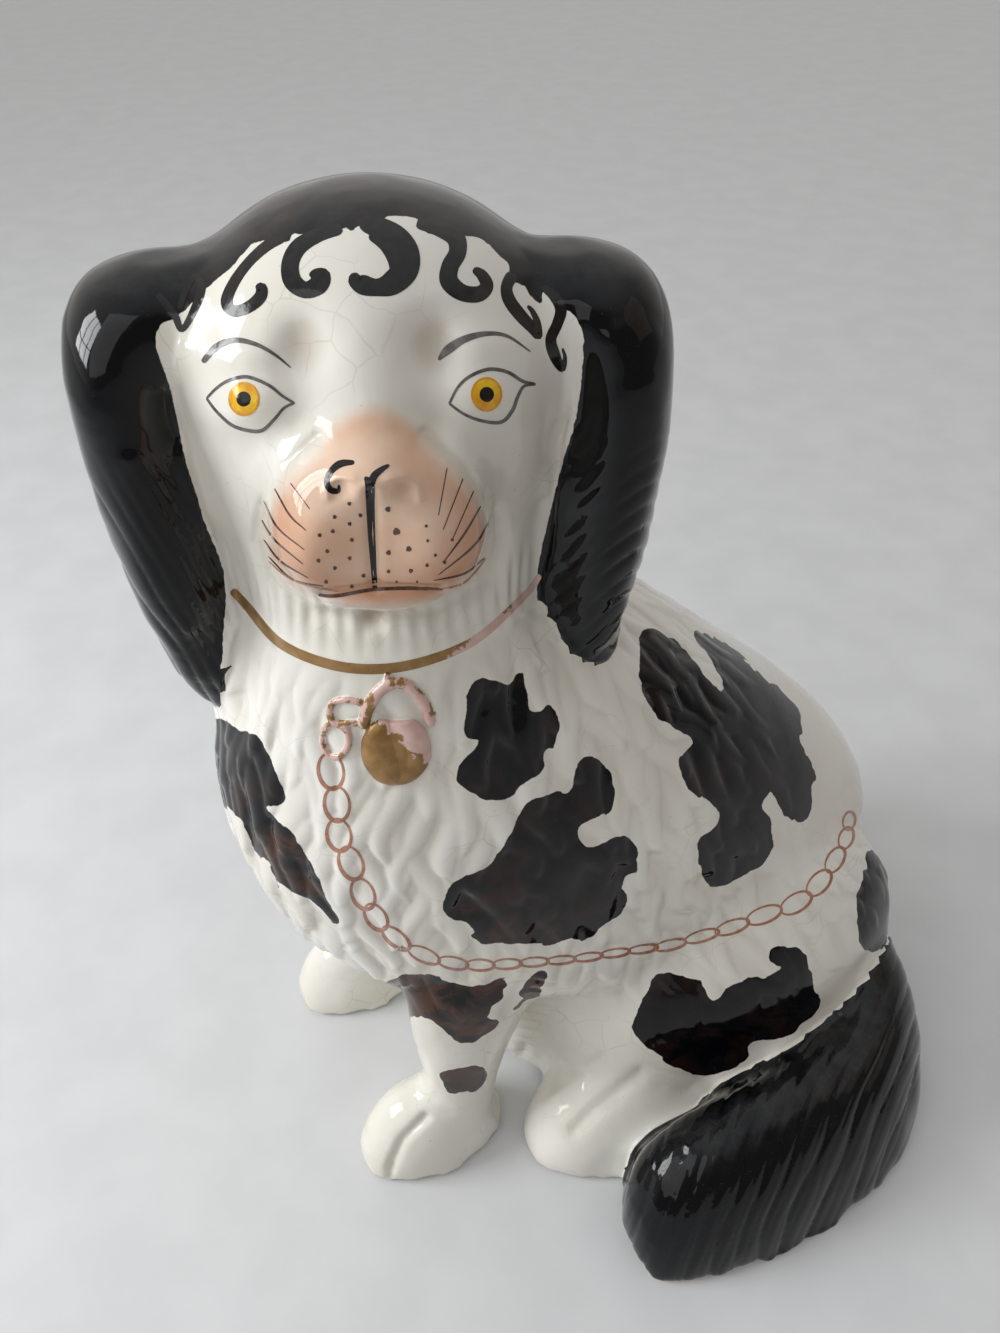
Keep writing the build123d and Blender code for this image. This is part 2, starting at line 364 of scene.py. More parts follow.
def bump(distance, width):
    """1 at no distance, fading over the width."""
    return np.exp(-((distance / width) ** 2))


def ramped(values, start, reach):
    """0 up to the start and 1 beyond the reach, which runs downwards when it is negative."""
    return np.clip((values - start) / reach, 0, 1)


def oval_bump(px, middle, reach):
    """1 at the middle of an oval in the photograph, fading over its half axes."""
    return bump(np.linalg.norm((px - middle) / reach, axis=1), 1.0)


def segment_distance(p, a, b):
    a, b = np.asarray(a, float), np.asarray(b, float)
    way = b - a
    t = np.clip(((p - a) @ way) / max(way @ way, 1e-9), 0, 1)
    return np.linalg.norm(p - a - t[:, None] * way, axis=1)


def path_distance(p, path):
    """Distance in pixels from the nearest segment of a path."""
    return np.minimum.reduce([segment_distance(p, a, b) for a, b in zip(path, path[1:])])


def polygon_distance(px, outline):
    """Signed distance from an outline in pixels, negative inside, for points near it."""
    outline = np.asarray(outline, float)
    out = np.full(len(px), FAR)
    low, high = outline.min(0) - FAR / 2, outline.max(0) + FAR / 2
    near = np.flatnonzero(((px > low) & (px < high)).all(1))
    p = px[near]
    best = np.full(len(p), FAR)
    crossings = np.zeros(len(p), bool)
    for a, b in zip(outline, np.roll(outline, -1, axis=0)):
        best = np.minimum(best, segment_distance(p, a, b))
        spans = (a[1] > p[:, 1]) != (b[1] > p[:, 1])
        at = a[0] + (p[:, 1] - a[1]) * (b[0] - a[0]) / (b[1] - a[1] if b[1] != a[1] else 1e-9)
        crossings ^= spans & (p[:, 0] < at)
    out[near] = np.where(crossings, -best, best)
    return out


def seen(points, normals):
    """How squarely the skin faces the camera: 1 when it does, below 0 on the hidden side."""
    return (unit(CAMERA_PLACE - points) * normals).sum(1)


def with_lines(lift, px, lines):
    """The lift with grooves and ridges put in along paths in the photograph."""
    for path, rise, width in lines:
        lift = lift + rise * bump(path_distance(px, path), width)
    return lift


# Large odd numbers that scatter the noise's values over its cells
SCATTER, SEED_SCATTER, LAST_SCATTER = (73856093, 19349663, 83492791), 2654435, 1274126177


def hash_noise(points, size, seed):
    """Smooth value noise, -1 to 1."""
    g = points / size + 100.0
    cell = np.floor(g).astype(np.int64)
    f = g - cell
    f = f * f * (3 - 2 * f)
    total = np.zeros(len(points))
    for corner in range(8):
        o = np.array([(corner >> k) & 1 for k in range(3)])
        x, y, z = ((cell + o) * SCATTER).T
        h = x ^ y ^ z ^ (seed * SEED_SCATTER)
        h = (h ^ (h >> 13)) * LAST_SCATTER
        value = ((h ^ (h >> 16)) & 0xFFFF) / 32767.5 - 1
        weight = np.prod(np.where(o == 1, f, 1 - f), axis=1)
        total += weight * value
    return total


# Face: centre and half axes in photograph pixels, and how far it is raised, in mm
FACE_FORMS = [
    ((245, 402), (42, 30), 3.2),
    ((489, 396), (44, 31), 3.2),
    ((228, 352), (44, 20), 1.6),
    ((495, 342), (46, 20), 1.6),
    ((302, 350), (30, 38), -3.0),
    ((434, 350), (28, 36), -3.6),
    ((300, 430), (26, 32), -1.3),
    ((432, 428), (26, 30), -2.4),
    ((368, 300), (52, 50), 1.0),
    ((369, 425), (46, 60), 2.4),
    ((373, 470), (44, 26), 3.4),
    ((308, 545), (38, 42), 2.9),
    ((440, 545), (38, 42), 2.7),
    ((382, 606), (58, 9), 1.4),
    ((341, 484), (10, 11), -1.6),
    ((405, 486), (11, 12), -1.6),
]
# Lines of the face: their path in pixels, how far they rise in mm, and their width in pixels
FACE_LINES = [
    ([(371, 482), (373, 540), (375, 588)], -1.3, 6.0),
    ([(321, 595), (375, 591), (441, 589)], -1.3, 5.0),
    ([(318, 440), (285, 470), (262, 510), (256, 545), (268, 585), (310, 615), (372, 624)], -1.9, 9.0),
    ([(424, 440), (466, 468), (492, 510), (499, 545), (488, 585), (440, 614), (372, 624)], -1.9, 9.0),
    ([(326, 492), (328, 477), (338, 467), (354, 464)], 0.8, 4.0),
    ([(389, 465), (405, 467), (418, 479), (420, 496)], 0.8, 4.0),
]
head_turn = math.radians(HEAD_TURN)
face_way = np.array([-math.sin(head_turn), -math.cos(head_turn), 0.0])


def face_relief(points, normals):
    """How far the face stands out along its own direction."""
    px, _ = to_photo(points)
    lift = np.zeros(len(points))
    for (u, v), (wide, tall), rise in FACE_FORMS:
        lift += rise * np.exp(-(((px[:, 0] - u) / wide) ** 2) - ((px[:, 1] - v) / tall) ** 2)
    return with_lines(lift, px, FACE_LINES) * np.clip(seen(points, normals) * 4, 0, 1)


# The ruff: its pleats to the radian, their depth and the height of the roll in mm
PLEATS, PLEAT_DEPTH, COLLAR_ROLL = 52, 0.34, 0.55


def ruff_relief(points):
    """Pleats of the ruff between the jaw and the collar, with the roll of the collar below."""
    r = points[:, :2] - HEAD_AXIS
    angle = np.arctan2(r[:, 1], r[:, 0])
    height = points[:, 2]
    pleats = np.cos(angle * PLEATS + 1.1 * hash_noise(points, 15, 11) + (height - 236) * 0.04)
    pleats = PLEAT_DEPTH * (pleats - 0.2) * (0.75 + 0.35 * hash_noise(points, 11, 12))
    return pleats * bump(height - 237, 6.5) + COLLAR_ROLL * bump(height - 227.5, 2.6)


NECK = np.array([-56.0, 24.0, 232.0])


def flow(p):
    """Which way the moulded coat lies: away from the neck, down, and backwards behind."""
    down_way, back_way = np.array([0.0, 0.0, -1.0]), np.array([1.0, 0.0, 0.0])
    return unit(0.9 * unit(p - NECK) + 0.55 * down_way + 0.35 * ramped(p[0], -20, 90) * back_way)


# The moulded locks, in mm: the ranges that each lock's own measures are drawn from
LOCK_SPACING, LOCK_TRIES = 8.6, 7000
LOCK_LENGTHS, LOCK_WIDTHS = (14, 24), (3.4, 5.2)
LOCK_BENDS, LOCK_HEIGHTS = (0.09, 0.22), (0.65, 1.0)


def lock_places(points, coat, rng):
    """Vertices of the coat that lie at least the spacing apart, the lowest first."""
    where = np.flatnonzero(coat > 0.25)
    chosen, kept = [], np.empty((0, 3))
    for i in where[rng.permutation(len(where))][:LOCK_TRIES]:
        p = points[i]
        if len(kept) == 0 or np.min(np.linalg.norm(kept - p, axis=1)) > LOCK_SPACING:
            chosen.append(i)
            kept = np.vstack([kept, p])
    return sorted(chosen, key=lambda i: points[i][2])


def coat_locks(points, normals, coat):
    """Long tapered locks in slow curls that lie over one another as on a moulded coat."""
    rng = np.random.default_rng(SEED)
    relief = np.zeros(len(points))
    for i in lock_places(points, coat, rng):
        p, n = points[i], normals[i]
        d = flow(p)
        d = unit(d - (d @ n) * n)
        s = np.cross(n, d)
        length = rng.uniform(*LOCK_LENGTHS)
        bend = rng.uniform(*LOCK_BENDS) * rng.choice([-1, 1])
        wide = rng.uniform(*LOCK_WIDTHS)
        tall = rng.uniform(*LOCK_HEIGHTS)
        near = np.flatnonzero(np.linalg.norm(points - p, axis=1) < length + 4)
        near = near[(normals[near] @ n) > 0.2]
        r = points[near] - p
        x, y = r @ d, r @ s
        t = np.clip(x / length, -1, 1)
        middle = bend * length * np.sin(t * 2.8 + 0.4)
        half = wide * np.clip(1 - np.abs(t) ** 2.4, 0.05, 1) * (1 - 0.3 * t)
        ridge = np.clip(1 - ((y - middle) / half) ** 2, 0, None) ** 0.8
        ends = np.clip((1 - np.abs(x) / length) * 2.2, 0, 1)
        relief[near] = np.maximum(relief[near], tall * ridge * ends * (0.7 + 0.3 * t))
    return relief


def combed(phase):
    """Rounded ribs with narrow valleys between them, from 0 to 1."""
    return np.clip(1 - (2 * np.mod(phase, 1) - 1) ** 2, 0, 1) ** 0.5


# Ears: the side of the head, the slope of the combing in degrees and its spacing in pixels
EAR_COMBS = [(-1, 58.0, 13.0), (1, 38.0, 15.0)]
COMB_DEPTH = 0.85


def ear_relief(points):
    """Fine combing that slants down and inwards on the lower half of each ear."""
    px, _ = to_photo(points)
    r = points[:, :2] - HEAD_AXIS
    sideways = r @ np.array([math.cos(head_turn), -math.sin(head_turn)])
    waver = 0.22 * hash_noise(points, 13, 3) + 0.45 * hash_noise(points, 30, 4)
    lift = np.zeros(len(points))
    for side, slope, spacing in EAR_COMBS:
        a = math.radians(slope)
        phase = (side * px[:, 0] * math.sin(a) + px[:, 1] * math.cos(a)) / spacing + waver
        lift = np.where(np.sign(sideways) == side, combed(phase) - 0.62, lift)
    strength = np.clip(0.75 + 0.5 * hash_noise(points, 9, 6), 0.2, 1.2)
    low = ramped(points[:, 2], 276, -34)
    broad = 0.5 * hash_noise(points, 22, 8)
    return COMB_DEPTH * lift * low * strength + broad * ramped(points[:, 2], 300, -20)


# Tail: the spacing of its flutes in pixels, and their depth in mm, coarse and fine
FLUTES, FINE_FLUTES = (21.0, 0.9), (9.0, 0.22)


def tail_relief(points):
    """Long flutes that run along the brush and slant down to its tip."""
    px, _ = to_photo(points)
    slant = px[:, 0] * 0.93 + px[:, 1] * 0.36
    phase = slant / FLUTES[0] + 0.4 * hash_noise(points, 24, 5)
    fine = slant / FINE_FLUTES[0] + 0.5 * hash_noise(points, 18, 15)
    deep = np.clip(0.7 + 0.6 * hash_noise(points, 26, 16), 0.25, 1.2)
    low = np.clip((px[:, 1] - 930 - 0.15 * (930 - px[:, 0])) / 60, 0.25, 1)
    return (FLUTES[1] * (combed(phase) - 0.6) * deep + FINE_FLUTES[1] * (combed(fine) - 0.6)) * low


# Grooves between the toes, like the lines of the face, and the hair behind the foreleg
TOE_GROOVES = [
    ([(425, 1118), (402, 1142), (390, 1168)], -1.8, 5.0),
    ([(390, 1172), (388, 1190)], -1.2, 4.0),
    ([(640, 1075), (592, 1112), (575, 1130)], -1.3, 8.0),
    ([(600, 1060), (560, 1082), (540, 1096)], -0.7, 7.0),
    ([(368, 1085), (362, 1105)], -0.7, 5.0),
    ([(500, 1112), (508, 1085), (524, 1050)], -1.4, 7.0),
]
FRINGE = [(540, 962), (562, 985), (540, 1040), (512, 1090), (505, 1060), (522, 1010), (530, 975)]
FRINGE_DEPTH, FRINGE_SPACING = 0.5, 8.5


def paw_relief(points, normals):
    """The toes, seen from above in the photograph, and the combed hair behind the foreleg."""
    px, _ = to_photo(points)
    lift = with_lines(np.zeros(len(points)), px, TOE_GROOVES)
    hairs = combed((px[:, 1] - 0.18 * px[:, 0]) / FRINGE_SPACING) - 0.6
    lift += FRINGE_DEPTH * hairs * np.clip(-polygon_distance(px, FRINGE) / 6, 0, 1)
    return lift * np.clip(seen(points, normals) * 4, 0, 1)


# Where the coat lies smoother: the middle and the half axes of ovals in pixels, and by how much
CALM_PLACES = [((580, 898), (75, 62)), ((532, 985), (36, 40))]
CALM = 0.85
# The height of the locks in mm, and the share of it that lies below the plain skin
LOCK_RELIEF, LOCK_BASE = 2.2, 0.40
# The steps in mm at the edges of the ears and the tail, and how far in they reach
EAR_STEP, TAIL_STEP, STEP_REACH = 2.2, 1.4, 0.75
# A hollow of the face this deep in mm takes all of the darker glaze, which gives pooled glaze and painted
# shade in the hollows and creases
PIT_DEPTH = 3.0


def coat_share(points):
    """Where the locks lie: on the body, less on the rump and the legs, not on the feet."""
    height = points[:, 2]
    coat = np.clip(-(np.maximum.reduce([ear_share, tail_share, head_share, slab_share])) * 1.2, 0, 1)
    coat *= ramped(height, 62, 40) * ramped(height, 226, -12)
    coat *= np.clip(1 - (points[:, 0] + 8) / 70 * ramped(height, 80, 40), 0.14, 1)
    return coat * np.clip(-leg_share, 0.35, 1)


def edge_step(share):
    """The step at the edge of a piece that was luted on."""
    return share * np.exp(-((share / STEP_REACH) ** 2))


def skin_relief(points, normals):
    """All that stands out of the skin along its normals, in mm."""
    height = points[:, 2]
    coat = coat_share(points)
    locks = coat_locks(points, normals, coat)
    calm = np.ones(len(points))
    for middle, reach in CALM_PLACES:
        calm *= 1 - CALM * oval_bump(to_photo(points)[0], middle, reach)
    relief = LOCK_RELIEF * (locks - LOCK_BASE) * coat * calm
    relief += 0.25 * hash_noise(points, 14, 21) * (1 - np.clip(head_share, 0, 1))
    relief += ruff_relief(points) * np.clip(-ear_share * 1.4 + 0.2, 0, 1)
    relief += ear_relief(points) * np.clip(ear_share * 1.3, 0, 1)
    relief += tail_relief(points) * np.clip(tail_share * 1.8 - 0.5, 0, 1)
    relief += paw_relief(points, normals) * np.clip(-tail_share * 2 - 0.2, 0, 1) * (height < 110)
    relief += EAR_STEP * edge_step(ear_share) * ramped(height, 200, 10) * ramped(height, 292, -14)
    relief += TAIL_STEP * edge_step(tail_share)
    return relief


relief = skin_relief(points, normals)
on_face = np.clip(head_share * 2 + 0.4, 0, 1) * np.clip(-ear_share * 2 + 0.5, 0, 1)
face_lift = face_relief(points, normals) * on_face
points = points + normals * relief[:, None] + face_way * face_lift[:, None]
# The face's hollows and creases carry browner glaze: pooled glaze, and painted shade
hollow_pool_shade = np.clip(-face_lift / PIT_DEPTH, 0, 1)
points[:, 2] = np.maximum(points[:, 2], 0.0)
normals = normals_of(points, quads)


# Painting
def from_crop(where, path):
    """A path read off an enlarged crop, in photograph pixels. Half widths are scaled too."""
    (left, top), scale = where
    return [(left + p[0] / scale, top + p[1] / scale, *(w / scale for w in p[2:])) for p in path]


def rounded(outline, rounds=1):
    """The outline with its corners cut, again and again."""
    line = np.asarray(outline, float)
    for _ in range(rounds):
        ahead = np.roll(line, -1, axis=0)
        line = np.stack([0.75 * line + 0.25 * ahead, 0.25 * line + 0.75 * ahead], 1).reshape(-1, 2)
    return line


# The enlarged crops that paths were read off: their corner in the photograph and their scale
CHEST_CROP = ((180, 560), 3.0154)
FLANK_CROP = ((560, 580), 2.1778)
ELBOW_CROP = ((350, 930), 3.9)
FACE_CROP = ((140, 200), 3.267)
CURL_CROP = ((200, 200), 2.4)

PATCH_OUTLINES = {
    "shoulder": (CHEST_CROP, [
        (870, 375), (935, 360), (980, 380), (1040, 320), (1050, 420), (1060, 470), (1130, 410),
        (1145, 580), (1100, 570), (1090, 640), (1020, 680), (990, 720), (940, 730), (830, 680),
        (830, 640), (920, 540), (870, 530), (860, 480)]),
    "side": (CHEST_CROP, [
        (1180, 700), (1190, 620), (1240, 585), (1300, 640), (1320, 760), (1240, 780), (1200, 810),
        (1220, 870), (1280, 860), (1310, 835), (1360, 840), (1395, 930), (1330, 970), (1340, 1050),
        (1300, 1080), (1220, 1150), (970, 1165), (860, 1140), (900, 1110), (860, 1090), (790, 1070),
        (790, 1020), (850, 950), (960, 910), (980, 840), (1060, 720), (1110, 700)]),
    "chest": (CHEST_CROP, [
        (20, 455), (90, 470), (170, 510), (260, 560), (280, 640), (320, 710), (300, 745), (240, 740),
        (350, 850), (410, 920), (430, 990), (490, 1110), (430, 1060), (380, 1010), (300, 990), (270, 930),
        (210, 840), (170, 770), (80, 700), (30, 590)]),
    "back": (FLANK_CROP, [
        (175, 110), (220, 105), (270, 140), (330, 230), (360, 250), (350, 200), (280, 100), (330, 120),
        (400, 160), (440, 220), (500, 250), (540, 330), (510, 340), (570, 430), (545, 450), (540, 535),
        (475, 510), (460, 450), (440, 500), (465, 530), (460, 610), (400, 650), (330, 680), (300, 600),
        (300, 560), (370, 510), (280, 460), (260, 420), (260, 380), (300, 350), (240, 320), (190, 290),
        (175, 200)]),
    "rump": (FLANK_CROP, [
        (670, 575), (700, 610), (720, 680), (720, 740), (700, 820), (650, 800), (640, 700), (665, 650)]),
    "haunch": (FLANK_CROP, [
        (235, 850), (320, 880), (330, 930), (380, 870), (500, 850), (455, 830), (460, 800), (540, 800),
        (545, 880), (570, 920), (550, 960), (480, 1000), (400, 1005), (420, 1050), (330, 1080),
        (260, 1070), (150, 990), (170, 940), (190, 880)]),
    "haunch_spot": (FLANK_CROP, [(560, 970), (600, 940), (665, 905), (650, 940), (600, 980)]),
    "elbow": (ELBOW_CROP, [
        (112, 232), (162, 190), (190, 172), (330, 178), (372, 213), (500, 210), (618, 190), (585, 238),
        (592, 266), (545, 290), (548, 318), (518, 345), (588, 360), (560, 398), (520, 422), (470, 442),
        (400, 432), (360, 396), (300, 348), (225, 342), (180, 300)]),
    "elbow_spot": (ELBOW_CROP, [
        (655, 245), (688, 200), (732, 165), (768, 168), (752, 215), (728, 258), (694, 268), (652, 314),
        (632, 308), (664, 268)]),
    "knee": (ELBOW_CROP, [
        (348, 585), (362, 556), (430, 544), (522, 522), (534, 580), (492, 632), (420, 648), (372, 626)]),
}
PATCHES = {name: rounded(from_crop(*outline), 2) for name, outline in PATCH_OUTLINES.items()}

# The white face, neck and ruff, inside the black cap and between the ears
FACE_EDGE = [
    (155, 327), (180, 316), (200, 294), (219, 277), (233, 267), (242, 254), (254, 242), (271, 240),
    (289, 243), (292, 233), (302, 235), (325, 227), (328, 234), (346, 226), (352, 232), (357, 225),
    (368, 228), (369, 238), (382, 217), (400, 215), (421, 219), (424, 232), (440, 237), (471, 235),
    (487, 242), (498, 254), (510, 265), (509, 275), (503, 282), (523, 283), (532, 299), (542, 305),
    (543, 290), (548, 291), (562, 308), (573, 313), (584, 332), (583, 360), (581, 387), (575, 425),
    (563, 460), (551, 510), (541, 550), (535, 587), (543, 622), (560, 665), (600, 720), (200, 720),
    (210, 693), (223, 663), (223, 630), (227, 597), (222, 563), (207, 530), (195, 490), (185, 460),
    (177, 417), (168, 380), (157, 353),
]

# Between the forelegs the belly stays white
BELLY_HALF_WIDTH, BELLY_TOP = 22.0, 112

# Signed distances from the paint stop at this many mm
PAINT_REACH = 12.0
# On the hidden side the patches are mirrored, and shifted by this much
MIRROR_SHIFT = (6.0, 0, -4.0)
# The skin counts as shown in the photograph when it faces the camera at least this squarely
SHOWN = 0.02


def nearest_outline(px, outlines):
    """Signed distance in pixels from whichever outline is nearest."""
    return np.minimum.reduce([polygon_distance(px, outline) for outline in outlines])


def blob_distance(points, middle, reach, thickness):
    """About the distance in mm from an egg-shaped patch that the photograph doesn't show."""
    return (np.linalg.norm((points - middle) / reach, axis=1) - 1) * thickness


def coat_distance(points, normals):
    """Signed distance in mm from the black patches of the coat."""
    px, scale = to_photo(points)
    facing = seen(points, normals)
    shown = facing > SHOWN
    mirrored = points * [1, -1, 1] + [0, 2 * BODY_MIDDLE_Y, 0]
    mirror_px, mirror_scale = to_photo(mirrored + MIRROR_SHIFT)
    front = nearest_outline(px, PATCHES.values()) * scale
    others = [outline for name, outline in PATCHES.items() if name != "chest"]
    hidden = nearest_outline(mirror_px, others) * mirror_scale
    ragged = 1.1 * hash_noise(points, 6.0, 31) + 0.5 * hash_noise(points, 2.6, 32)
    # A patch runs on a little way over the edge of what the photograph shows
    over_edge = front + 45 * np.clip(SHOWN - facing, 0, None)
    coat = np.where(shown, front, np.minimum(hidden, over_edge)) + ragged
    rump = blob_distance(points, (115, 22, 92), (9, 16, 24), 12) + 5.0 * hash_noise(points, 15, 36)
    chest = blob_distance(points, (-100, 74, 130), (22, 14, 40), 14)
    coat = np.where(shown, coat, np.minimum.reduce([coat, rump, chest]))
    belly = (normals[:, 0] < 0.3) & (points[:, 2] < BELLY_TOP)
    belly &= np.abs(points[:, 1] - BODY_MIDDLE_Y) < BELLY_HALF_WIDTH
    return np.where(belly, PAINT_REACH, coat)


# The scalloped line that ends the black at the back of the neck, in mm
NAPE_HEIGHT, NAPE_SCALLOP, NAPE_SCALLOPS = 246, 2.2, 9


def cap_distance(points, normals):
    """Signed distance in mm from the black cap of the head."""
    px, scale = to_photo(points)
    cap = -polygon_distance(px, rounded(FACE_EDGE)) * scale
    r = points[:, :2] - HEAD_AXIS
    nape = NAPE_HEIGHT + NAPE_SCALLOP * np.sin(np.arctan2(r[:, 1], r[:, 0]) * NAPE_SCALLOPS)
    nape += 2.6 * hash_noise(points, 10, 35)
    behind = r @ face_way[:2]
    rear = np.where(behind > 12, FAR, nape - points[:, 2])
    return np.where((seen(points, normals) < SHOWN) | (behind < -6), rear, cap)


def black_distance(points, normals, kind):
    """Signed distance in mm from the black painting, negative where it is black."""
    if kind == "tail":
        return np.full(len(points), -PAINT_REACH)
    if kind == "body":
        low = coat_distance(points, normals)
    else:
        low = cap_distance(points, normals)
    if kind == "ear":
        capped = (seen(points, normals) > SHOWN) & (points[:, 2] > 212)
        low = np.where(capped, low, -PAINT_REACH)
    return np.clip(low, -PAINT_REACH, PAINT_REACH)


MUZZLE_EDGE = [
    (370, 404), (345, 412), (325, 430), (312, 452), (290, 475), (272, 495), (263, 520), (266, 550),
    (280, 575), (312, 595), (345, 608), (378, 612), (415, 608), (450, 597), (478, 575), (488, 550),
    (489, 520), (478, 490), (455, 465), (430, 445), (415, 420), (395, 407),
]

# Where the black was brushed on so thin that it fires brown: ovals in pixels
THIN_PLACES = [((440, 1010), (120, 90)), ((295, 880), (60, 60))]
THIN_EVERYWHERE, THIN_THERE = 0.15, 1.3


def painted(points, normals, kind, raised, hollow_pool_shades):
    """What the glaze reads at each vertex: the edges of the black and the pink, the painted shade under the
    muzzle, where the black is thin, the relief that darkens its valleys with pooled glaze and painted
    shade, and the pooled glaze and painted shade of the face's hollows.
    """
    px, scale = to_photo(points)
    edge = polygon_distance(px, rounded(MUZZLE_EDGE)) * scale
    thin = np.full(len(points), THIN_EVERYWHERE)
    for middle, reach in THIN_PLACES:
        thin += THIN_THERE * oval_bump(px, middle, reach)
    return {
        "black": black_distance(points, normals, kind),
        "pink": np.where((seen(points, normals) > 0) & (kind == "head"), edge, PAINT_REACH),
        # Painted shade on the muzzle's lower part, growing from this row of pixels down
        "muzzle_low_shade": ramped(px[:, 1], 440, 90),
        "thin": np.clip(thin, 0, 1) * (kind in ("head", "body")),
        "relief": raised,
        "hollow_pool_shade": hollow_pool_shades,
    }


# Materials: the colours of the glaze and the enamels
# The pooled glaze colour also gives painted shade in the valleys of the relief
WHITE_GLAZE, CREAM_GLAZE, POOLED_GLAZE_AND_SHADE = (0.80, 0.785, 0.735), (0.75, 0.72, 0.645), (0.62, 0.585, 0.50)
# Browner glaze of the face's hollows and creases: pooled glaze, and painted shade
PIT_GLAZE_AND_SHADE = (0.50, 0.42, 0.32)
# The darkest of these is painted shade along the muzzle's lower rim
PINK_LOW, PINK_HIGH, PINK_RIM_SHADE = (0.68, 0.43, 0.29), (0.74, 0.55, 0.42), (0.52, 0.25, 0.14)
BLACK_PAINT, THIN_PAINT = (0.0016, 0.0020, 0.0032), (0.060, 0.022, 0.011)
CRACK_COLOUR, SPECK_COLOUR, DUST_COLOUR = (0.40, 0.33, 0.25), (0.16, 0.17, 0.26), (0.12, 0.12, 0.115)
CLAY_DARK, CLAY_LIGHT, WORN_FOOT = (0.60, 0.50, 0.36), (0.74, 0.65, 0.50), (0.62, 0.52, 0.38)
GOLD_DARK, GOLD_LIGHT = (0.235, 0.125, 0.035), (0.335, 0.195, 0.070)
GROUND_DARK, GROUND_LIGHT = (0.56, 0.36, 0.32), (0.64, 0.45, 0.40)


class Nodes:
    """Short calls for building the node tree of a material or of the sky."""

    def __init__(self, owner):
        owner.use_nodes = True
        self.owner, self.tree = owner, owner.node_tree
        self.shader = self.tree.nodes.get("Principled BSDF")
        self.surface = None

    def feed(self, node, inputs):
        """Each socket named in the inputs is linked, or set where a plain value is given."""
        for socket, value in inputs.items():
            if hasattr(value, "is_linked"):
                self.tree.links.new(value, node.inputs[socket])
            else:
                node.inputs[socket].default_value = value

    def add(self, kind, inputs=None, **settings):
        node = self.tree.nodes.new(kind)
        for key, value in settings.items():
            setattr(node, key, value)
        self.feed(node, inputs or {})
        return node

    def geometry(self, what):
        self.surface = self.surface or self.add("ShaderNodeNewGeometry")
        return self.surface.outputs[what]

    def upward(self, what):
        """The upright share of the place on the surface or of its normal."""
        return self.add("ShaderNodeSeparateXYZ", {0: self.geometry(what)}).outputs["Z"]

    def attribute(self, name):
        return self.add("ShaderNodeAttribute", attribute_name=name).outputs["Fac"]

    def math(self, operation, a, b):
        return self.add("ShaderNodeMath", {0: a, 1: b}, operation=operation).outputs[0]

    def times(self, a, b):
        return self.math("MULTIPLY", a, b)

    def noise(self, scale, detail, roughness=0.5, distortion=0.0):
        grain = {"Scale": scale, "Detail": detail, "Roughness": roughness, "Distortion": distortion}
        grain["Vector"] = self.geometry("Position")
        return self.add("ShaderNodeTexNoise", grain).outputs["Fac"]

    def wobble(self, scale, detail, reach, roughness=0.5):
        """Noise on both sides of nought."""
        return self.times(self.math("SUBTRACT", self.noise(scale, detail, roughness), 0.5), reach)

    def ramp(self, value, low, high, out_low=0.0, out_high=1.0):
        limits = {"Value": value, "From Min": low, "From Max": high, "To Min": out_low, "To Max": out_high}
        return self.add("ShaderNodeMapRange", limits, interpolation_type="SMOOTHSTEP").outputs["Result"]

    def mix(self, share, a, b):
        a, b = ((*item, 1) if isinstance(item, tuple) else item for item in (a, b))
        return self.add("ShaderNodeMix", {"Factor": share, 6: a, 7: b}, data_type="RGBA").outputs[2]

    def bump(self, height, strength, distance):
        hill = self.add("ShaderNodeBump", {"Height": height, "Strength": strength, "Distance": distance})
        self.feed(self.shader, {"Normal": hill.outputs[0]})


def crazing(n):
    """Fine age cracks in the glaze: the borders of warped cells, fading in and out."""
    place = n.geometry("Position")
    drift = n.add("ShaderNodeTexNoise", {"Vector": place, "Scale": 90}).outputs["Color"]
    reach = (0.004, 0.004, 0.004)
    warp = n.add("ShaderNodeVectorMath", {0: drift, 1: reach, 2: place}, operation="MULTIPLY_ADD")
    cells = {"Vector": warp.outputs[0], "Scale": 95}
    cells = n.add("ShaderNodeTexVoronoi", cells, feature="DISTANCE_TO_EDGE")
    lines = n.ramp(cells.outputs["Distance"], 0.006, 0.020, 1.0, 0.0)
    return n.times(lines, n.ramp(n.noise(35, 2), 0.48, 0.68, 0.0, 0.26))


def white_colour(n):
    """Cream-white glaze, darker in the valleys of the relief as pooled glaze and painted shade, browner
    still in the face's hollows and creases as pooled glaze and painted shade, with cracks and specks.
    """
    cream = n.mix(n.ramp(n.noise(28, 3), 0.35, 0.7), WHITE_GLAZE, CREAM_GLAZE)
    # Darker in the valleys of the relief: pooled glaze, and painted shade there
    valley_pool_and_shade = n.ramp(n.attribute("relief"), -0.7, 0.3, 1.0, 0.0)
    cream = n.mix(n.times(valley_pool_and_shade, 0.40), cream, POOLED_GLAZE_AND_SHADE)
    # Painted shade, with pooled glaze, in the face's hollows and creases
    cream = n.mix(n.ramp(n.attribute("hollow_pool_shade"), 0.25, 1.0, 0.0, 0.55), cream, PIT_GLAZE_AND_SHADE)
    cream = n.mix(crazing(n), cream, CRACK_COLOUR)
    specks = n.ramp(n.noise(900, 1, 0.4), 0.80, 0.84)
    return n.mix(n.times(specks, 0.5), cream, SPECK_COLOUR)


